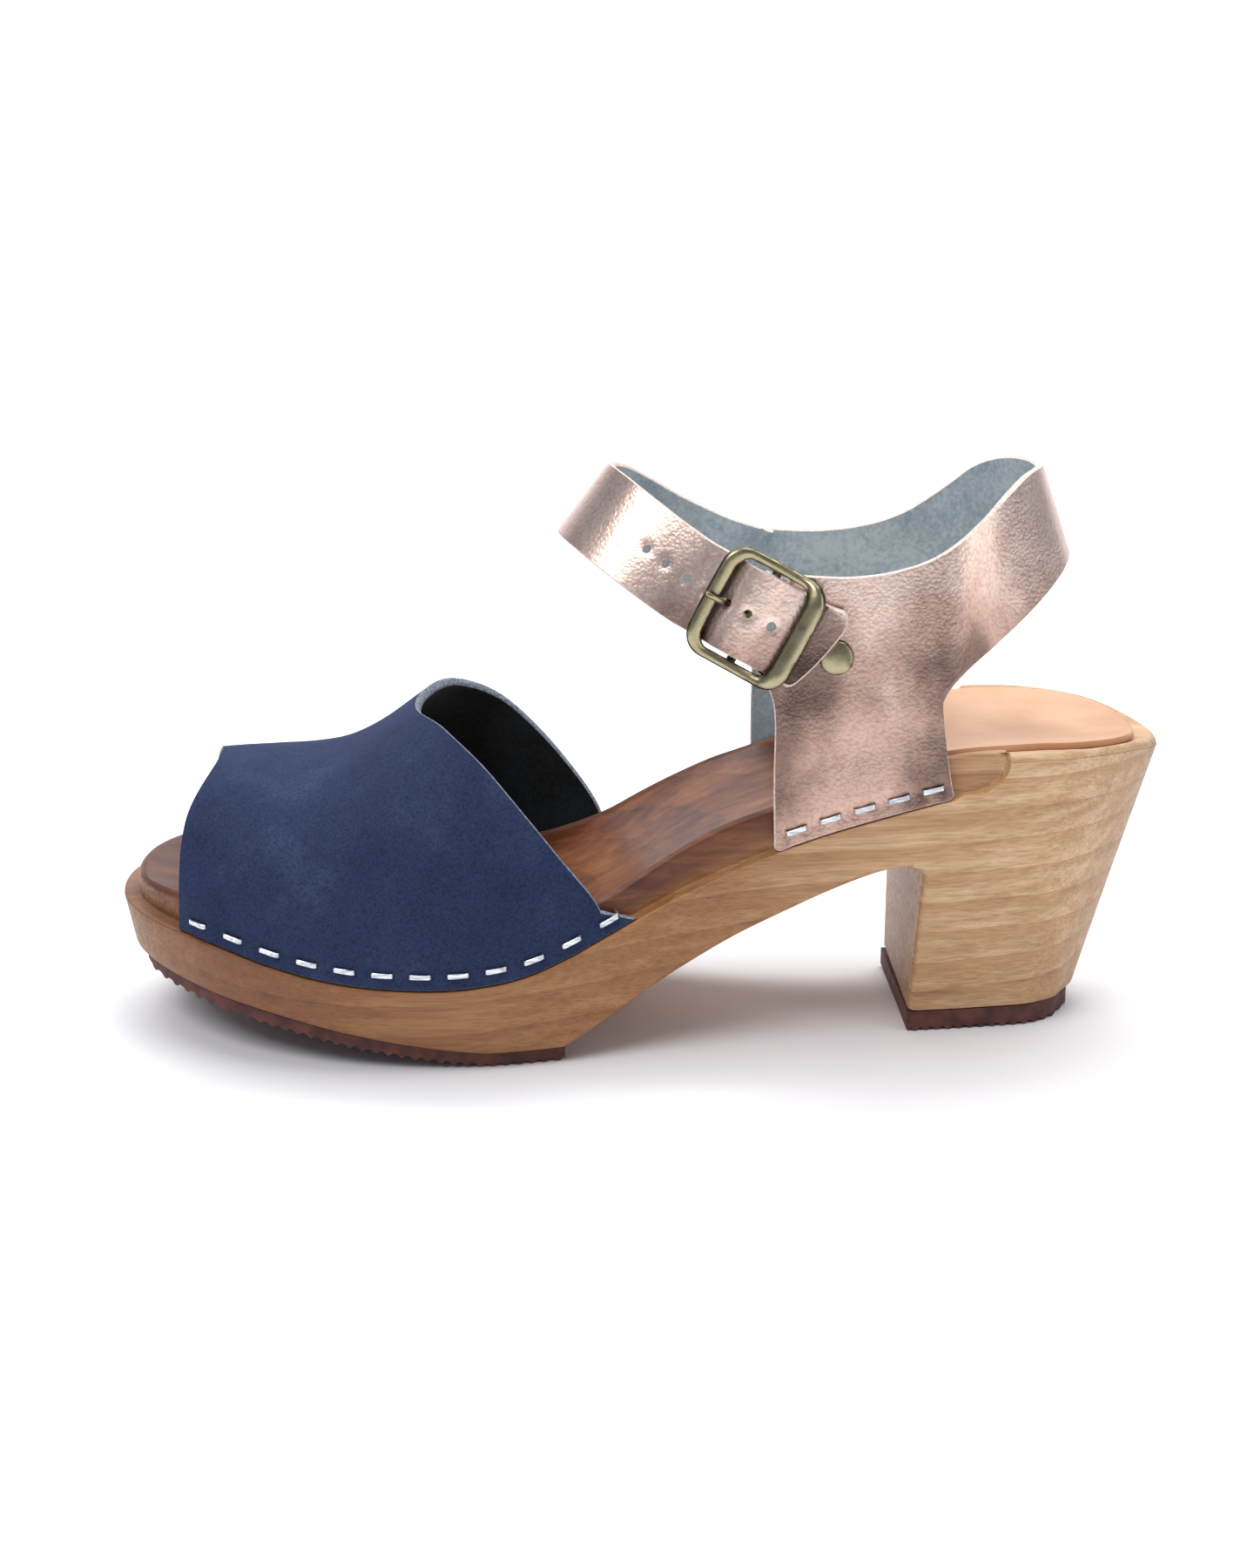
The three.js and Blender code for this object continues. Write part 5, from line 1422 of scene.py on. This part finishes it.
def staples(name, side, leather, material):
    """One row of staples as a single piece."""
    lines = wire_lines(side, leather)
    size = len(lines[0])
    points = (np.array(lines).reshape(-1, 3) + DRAWING_OFFSET) * MM
    edges = [(k * size + i, k * size + i + 1) for k in range(len(lines)) for i in range(size - 1)]
    mesh = bpy.data.meshes.new(name)
    mesh.from_pydata(points.tolist(), edges, [])
    piece = bpy.data.objects.new(name, mesh)
    bpy.context.scene.collection.objects.link(piece)
    modifier = piece.modifiers.new("wire", "NODES")
    modifier.node_group = staple_tree(name + "_wire", material)
    set_input(modifier, "Wire width", STAPLE_WIDTH * MM)
    set_input(modifier, "Wire gauge", STAPLE_GAUGE * MM)
    bake(piece)
    face_outwards(piece)
    smooth(piece, 35)
    return piece


# ------------------------------------------------------------------ settings
def colour_property(label, value, description):
    return bpy.props.StringProperty(name=label, default=value, description=description)


class ClogColours(bpy.types.PropertyGroup):
    """Colours of the clog's materials, as sRGB hex."""
    wood_light: colour_property("Sapwood light", "#dfbc94", "Early wood of the pale sapwood")
    wood_mid: colour_property("Sapwood middle", "#c79d71", "Middle of the sapwood's rings")
    wood_dark: colour_property("Sapwood dark", "#946940", "Late wood of the sapwood")
    heart_light: colour_property("Heartwood light", "#a36c40", "Early wood of the brown heart")
    heart_dark: colour_property("Heartwood dark", "#5c3114", "Late wood of the brown heart")
    rubber_light: colour_property("Rubber light", "#67392f", "Rubber where it is dusty")
    rubber_dark: colour_property("Rubber dark", "#472621", "Rubber in its pores")
    pad_light: colour_property("Pad light", "#dcae8b", "Heel pad, pale")
    pad_dark: colour_property("Pad dark", "#c4916c", "Heel pad, darker")
    nubuck: colour_property("Nubuck", "#2f3a58", "Navy nubuck")
    nubuck_deep: colour_property("Nubuck deep", "#28324e", "Nubuck brushed down")
    nubuck_pale: colour_property("Nubuck pale", "#3a4664", "Nubuck brushed up")
    foil: colour_property("Foil", "#fde3d4", "Rose-gold foil")
    foil_mid: colour_property("Foil middle", "#d2b2a2", "Foil between the two")
    # The deep and middle foil colours are painted dark reflections, laid in bands over the metal film.
    foil_painted_dark: colour_property("Foil deep", "#877066", "Foil where it is burnished")
    brass_bright: colour_property("Brass bright", "#b0a684", "Brass rubbed bright")
    brass_mid: colour_property("Brass middle", "#574e39", "Brass plating")
    brass_dark: colour_property("Brass dark", "#1d1911", "Patina in the hollows")


def size_property(label, value, description):
    return bpy.props.FloatProperty(name=label, default=value, min=0.0001, unit="LENGTH", precision=4,
                                   description=description)


class ClogSizes(bpy.types.PropertyGroup):
    """Sizes that can be changed without moving a neighbour."""
    vamp_thickness: size_property("Vamp", 0.0022, "Thickness of the vamp's nubuck")
    pad_thickness: size_property("Heel pad", 0.0018, "Thickness of the heel pad")
    hole_radius: size_property("Hole radius", 0.0011, "Radius of the strap's punched holes")
    forefoot_ridge_pitch: size_property("Forefoot pitch", 0.003, "From ridge to ridge under the forefoot")
    forefoot_ridge_depth: size_property("Forefoot depth", 0.0007, "Depth between the forefoot's ridges")
    heel_ridge_pitch: size_property("Heel pitch", 0.0027, "From ridge to ridge under the heel")
    heel_ridge_depth: size_property("Heel depth", 0.0008, "Depth between the heel's ridges")


class ClogStage(bpy.types.PropertyGroup):
    """Camera and lamps."""
    lens: bpy.props.FloatProperty(name="Lens", default=57.0, unit="CAMERA", description="Focal length")
    azimuth: bpy.props.FloatProperty(name="Azimuth", default=math.radians(2.34), subtype="ANGLE",
                                     description="Turn of the view towards the heel")
    elevation: bpy.props.FloatProperty(name="Elevation", default=math.radians(16.27), subtype="ANGLE",
                                       description="How far the camera looks down")
    camera: bpy.props.FloatVectorProperty(name="Camera", default=(-0.02611, -0.57389, 0.22329), subtype="XYZ",
                                          unit="LENGTH", description="Camera position")
    key: bpy.props.FloatProperty(name="Key lamp", default=12.5, unit="POWER",
                                 description="Softbox over the toe")
    fill: bpy.props.FloatProperty(name="Fill lamp", default=3.2, unit="POWER",
                                  description="Softbox beside the camera")


# ------------------------------------------------------------------ operators
made_materials = {}


def finishes():
    """All materials by name, made once."""
    if made_materials:
        return made_materials
    c = bpy.context.scene.clog_colours
    made_materials.update({
        "wood": waxed_alder({"light": c.wood_light, "mid": c.wood_mid, "dark": c.wood_dark,
                             "heart_light": c.heart_light, "heart_dark": c.heart_dark}),
        "rubber": moulded_rubber({"light": c.rubber_light, "dark": c.rubber_dark}),
        "pad": tanned_leather({"light": c.pad_light, "dark": c.pad_dark}),
        "nubuck": navy_nubuck({"navy": c.nubuck, "deep": c.nubuck_deep, "pale": c.nubuck_pale,
                               "nap": "#5a6890"}),
        "nubuck_inside": suede("black_split_lining", {"light": "#252b2e", "dark": "#15191b"}, 0.1),
        "nubuck_edge": cut_edge("dyed_cut_edge", "#5a6170", "#8c919c"),
        "foil": foil_leather({"foil": c.foil, "foil_mid": c.foil_mid, "deep": c.foil_painted_dark}),
        "flesh": suede("pale_flesh_side", {"light": "#bccbd0", "dark": "#93a5ac"}, 0.2),
        "strap_edge": cut_edge("raw_cut_edge", "#d9bfb4", "#f3e3da"),
        "brass": antique_brass({"bright": c.brass_bright, "mid": c.brass_mid, "dark": c.brass_dark}),
        "wire": bright_wire({"bright": "#e6e8ea", "dull": "#a9adb2"}),
    })
    return made_materials


def place(piece, body, slot, *nodes):
    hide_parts(*nodes)
    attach(piece, body)


class ClogOperator:
    bl_options = {"REGISTER"}


class CLOG_OT_sole(ClogOperator, bpy.types.Operator):
    """Carve the wooden platform and heel as one block"""
    bl_idname = "clog.sole"
    bl_label = "Sole"

    def execute(self, context):
        wood = finishes()["wood"]
        sole = platform(wood)
        heel_levels = [(TOP_PIECE + CLEARANCE, 0.8), (TOP_PIECE + CLEARANCE + 0.25, 0.3)]
        heel_levels += [(z, 0.02) for z in (TOP_PIECE + 1.1, 20, 34, 40.4, 41.4, 42.3, 43, 43.5, 43.9, 48)]
        heel = heel_block("heel_block", heel_levels, [wood])
        combine(sole, [heel], crease_degrees=34)
        paint_wood(sole)
        place(sole, "clog", "wood", "sole")
        return {"FINISHED"}


class CLOG_OT_rubber(ClogOperator, bpy.types.Operator):
    """Mould the ridged forefoot rubber and the heel's top piece"""
    bl_idname = "clog.rubber"
    bl_label = "Rubber"

    def execute(self, context):
        rubber = finishes()["rubber"]
        sizes = context.scene.clog_sizes
        front = TOE_X + OUTSOLE_INSET + 3.4
        xs = lerp(front, OUTSOLE_REAR_X, np.concatenate([np.linspace(0, 1, 24, endpoint=False) ** 2 * 0.06,
                                                         np.linspace(0.06, 1, 340)]))
        top = lambda x: wood_bottom(x) - CLEARANCE
        outsole = tread_slab("forefoot_outsole", xs, outsole_sides, top, OUTSOLE_THICKNESS, rubber,
                             sizes.forefoot_ridge_pitch / MM, sizes.forefoot_ridge_depth / MM)
        place(outsole, "clog", "rubber", "forefoot_outsole")
        rear = HEEL_X - REAR_LEAN * 68 - 0.4
        xs = lerp(62.9, rear, np.concatenate([np.linspace(0, 0.94, 170),
                                              1 - np.linspace(1, 0, 25)[1:] ** 2 * 0.06]))
        flat = lambda x: np.full(np.shape(x), TOP_PIECE)
        piece = tread_slab("heel_top_piece", xs, heel_sides, flat, TOP_PIECE, rubber,
                           sizes.heel_ridge_pitch / MM, sizes.heel_ridge_depth / MM)
        place(piece, "clog", "rubber", "heel_top_piece")
        return {"FINISHED"}


class CLOG_OT_heel_pad(ClogOperator, bpy.types.Operator):
    """Lay the leather pad on the heel seat"""
    bl_idname = "clog.heel_pad"
    bl_label = "Heel pad"

    def execute(self, context):
        pad = heel_pad(finishes()["pad"], context.scene.clog_sizes.pad_thickness / MM)
        place(pad, "clog", "pad_leather", "heel_pad")
        return {"FINISHED"}


class CLOG_OT_vamp(ClogOperator, bpy.types.Operator):
    """Last the nubuck vamp over the forefoot"""
    bl_idname = "clog.vamp"
    bl_label = "Vamp"

    def execute(self, context):
        f = finishes()
        thickness = context.scene.clog_sizes.vamp_thickness / MM
        upper = vamp([f["nubuck"], f["nubuck_inside"], f["nubuck_edge"]], thickness)
        place(upper, "clog", "nubuck", "vamp")
        return {"FINISHED"}


class CLOG_OT_ankle_leather(ClogOperator, bpy.types.Operator):
    """Cut the quarters, heel strap and folded buckle tab from one strip"""
    bl_idname = "clog.ankle_leather"
    bl_label = "Ankle leather"

    def execute(self, context):
        f = finishes()
        strip = ankle_leather([f["foil"], f["flesh"], f["strap_edge"]])
        combine(strip, [strap_slot(f["strap_edge"])], "DIFFERENCE", crease_degrees=50)
        place(strip, "clog", "strap_leather", "ankle_leather")
        return {"FINISHED"}


class CLOG_OT_front_strap(ClogOperator, bpy.types.Operator):
    """Cut and punch the front strap, and thread it through the buckle"""
    bl_idname = "clog.front_strap"
    bl_label = "Front strap"

    def execute(self, context):
        f = finishes()
        hole_radius = context.scene.clog_sizes.hole_radius / MM
        strap = front_strap([f["foil"], f["flesh"], f["strap_edge"]], f["strap_edge"], hole_radius)
        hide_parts("front_strap", "strap_end")
        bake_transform(strap)
        return {"FINISHED"}


class CLOG_OT_buckle(ClogOperator, bpy.types.Operator):
    """Cast the buckle and bend its prong round the centre bar"""
    bl_idname = "clog.buckle"
    bl_label = "Buckle"

    def execute(self, context):
        brass = finishes()["brass"]
        place(buckle_frame(brass), "buckle", "brass", "buckle_frame")
        place(buckle_prong(brass), "prong", "brass", "buckle_prong")
        return {"FINISHED"}


class CLOG_OT_rivet(ClogOperator, bpy.types.Operator):
    """Set the rivet and its burr through the buckle tab"""
    bl_idname = "clog.rivet"
    bl_label = "Rivet"

    def execute(self, context):
        brass = finishes()["brass"]
        place(strap_rivet(brass), "clog", "brass", "strap_rivet")
        place(rivet_burr(brass), "clog", "brass", "rivet_burr")
        return {"FINISHED"}


class CLOG_OT_staples(ClogOperator, bpy.types.Operator):
    """Drive the staples along the edges of the vamp and the quarters"""
    bl_idname = "clog.staples"
    bl_label = "Staples"

    def execute(self, context):
        wire = finishes()["wire"]
        for leather, prefix, count in (("vamp", "vamp_staple", VAMP_STAPLES),
                                       ("quarter", "strap_staple", QUARTER_STAPLES)):
            for side, side_name in ((-1, "lateral"), (1, "medial")):
                row = staples(f"{prefix}s_{side_name}", side, leather, wire)
                nodes = [f"{prefix}_{side_name}_{i + 1}" for i in range(count)]
                place(row, "clog", "steel", *nodes)
        return {"FINISHED"}


def area_lamp(name, place_at, target, width, height, power, colour="#ffffff"):
    lamp = bpy.data.lights.new(name, "AREA")
    lamp.shape = "RECTANGLE"
    lamp.size = width
    lamp.size_y = height
    lamp.energy = power
    lamp.color = linear(colour)[:3]
    made = bpy.data.objects.new(name, lamp)
    made.location = place_at
    made.rotation_euler = (Vector(target) - Vector(place_at)).to_track_quat("-Z", "Y").to_euler()
    bpy.context.scene.collection.objects.link(made)
    return made


def backdrop():
    """Seamless paper: flat floor, a quarter-round sweep and a wall behind."""
    radius = 0.9
    near, far, side, height = -3.0, 1.6, 3.2, 2.6
    line = [(near, 0.0), (far, 0.0)]
    turns = np.radians(np.linspace(6, 90, 15))
    line += [(far + radius * math.sin(q), radius * (1 - math.cos(q))) for q in turns]
    line.append((far + radius, height))
    vertices = [(x, y, z) for y, z in line for x in (-side, side)]
    faces = [(2 * i, 2 * i + 1, 2 * i + 3, 2 * i + 2) for i in range(len(line) - 1)]
    mesh = bpy.data.meshes.new("studio_paper")
    mesh.from_pydata(vertices, [], faces)
    mesh.polygons.foreach_set("use_smooth", [True] * len(mesh.polygons))
    mesh.materials.append(matt_paper("seamless_paper", "#f4f4f6"))
    made = bpy.data.objects.new("studio_paper", mesh)
    bpy.context.scene.collection.objects.link(made)
    return made


class CLOG_OT_stage(ClogOperator, bpy.types.Operator):
    """Set the paper, the lamps and the camera"""
    bl_idname = "clog.stage"
    bl_label = "Stage"

    def execute(self, context):
        scene = context.scene
        setup = scene.clog_stage
        backdrop()
        middle = (0.0, 0.0, 0.06)
        area_lamp("key_softbox", (-0.75, -0.75, 1.35), middle, 1.0, 0.8, setup.key)
        area_lamp("top_softbox", (0.2, 0.35, 1.7), middle, 2.2, 1.4, setup.key * 1.9)
        area_lamp("fill_softbox", (1.3, -1.0, 0.55), middle, 0.6, 1.2, setup.fill)
        area_lamp("paper_softbox", (0.0, 1.1, 2.2), (0.0, 2.1, 0.4), 3.0, 1.0, setup.key * 4)
        world = bpy.data.worlds.new("studio_room")
        world.use_nodes = True
        world.node_tree.nodes["Background"].inputs[0].default_value = linear("#dce2f2")
        world.node_tree.nodes["Background"].inputs[1].default_value = 0.3
        scene.world = world
        scene.view_settings.view_transform = "Standard"
        lens = bpy.data.cameras.new("camera")
        lens.lens = setup.lens
        lens.sensor_width = 36
        camera = bpy.data.objects.new("camera", lens)
        camera.location = setup.camera
        camera.rotation_euler = (math.pi / 2 - setup.elevation, 0, -setup.azimuth)
        scene.collection.objects.link(camera)
        scene.camera = camera
        return {"FINISHED"}


STEPS = (CLOG_OT_sole, CLOG_OT_rubber, CLOG_OT_heel_pad, CLOG_OT_vamp, CLOG_OT_ankle_leather,
         CLOG_OT_front_strap, CLOG_OT_buckle, CLOG_OT_rivet, CLOG_OT_staples, CLOG_OT_stage)


class CLOG_PT_panel(bpy.types.Panel):
    """Lists the clog's pieces in the order they are made"""
    bl_idname = "CLOG_PT_panel"
    bl_label = "Wooden clog"
    bl_space_type = "VIEW_3D"
    bl_region_type = "UI"
    bl_category = "Clog"

    def draw(self, context):
        for step in STEPS:
            self.layout.operator(step.bl_idname)
        scene = context.scene
        for group in (scene.clog_sizes, scene.clog_colours, scene.clog_stage):
            for name in group.__annotations__:
                self.layout.prop(group, name)


CLASSES = (ClogSizes, ClogColours, ClogStage, *STEPS, CLOG_PT_panel)


def register():
    for made in CLASSES:
        bpy.utils.register_class(made)
    bpy.types.Scene.clog_sizes = bpy.props.PointerProperty(type=ClogSizes)
    bpy.types.Scene.clog_colours = bpy.props.PointerProperty(type=ClogColours)
    bpy.types.Scene.clog_stage = bpy.props.PointerProperty(type=ClogStage)


def unregister():
    del bpy.types.Scene.clog_stage
    del bpy.types.Scene.clog_colours
    del bpy.types.Scene.clog_sizes
    for made in reversed(CLASSES):
        bpy.utils.unregister_class(made)


def main():
    register()
    for step in STEPS:
        family, name = step.bl_idname.split(".")
        getattr(getattr(bpy.ops, family), name)()


if __name__ == "__main__":
    main()
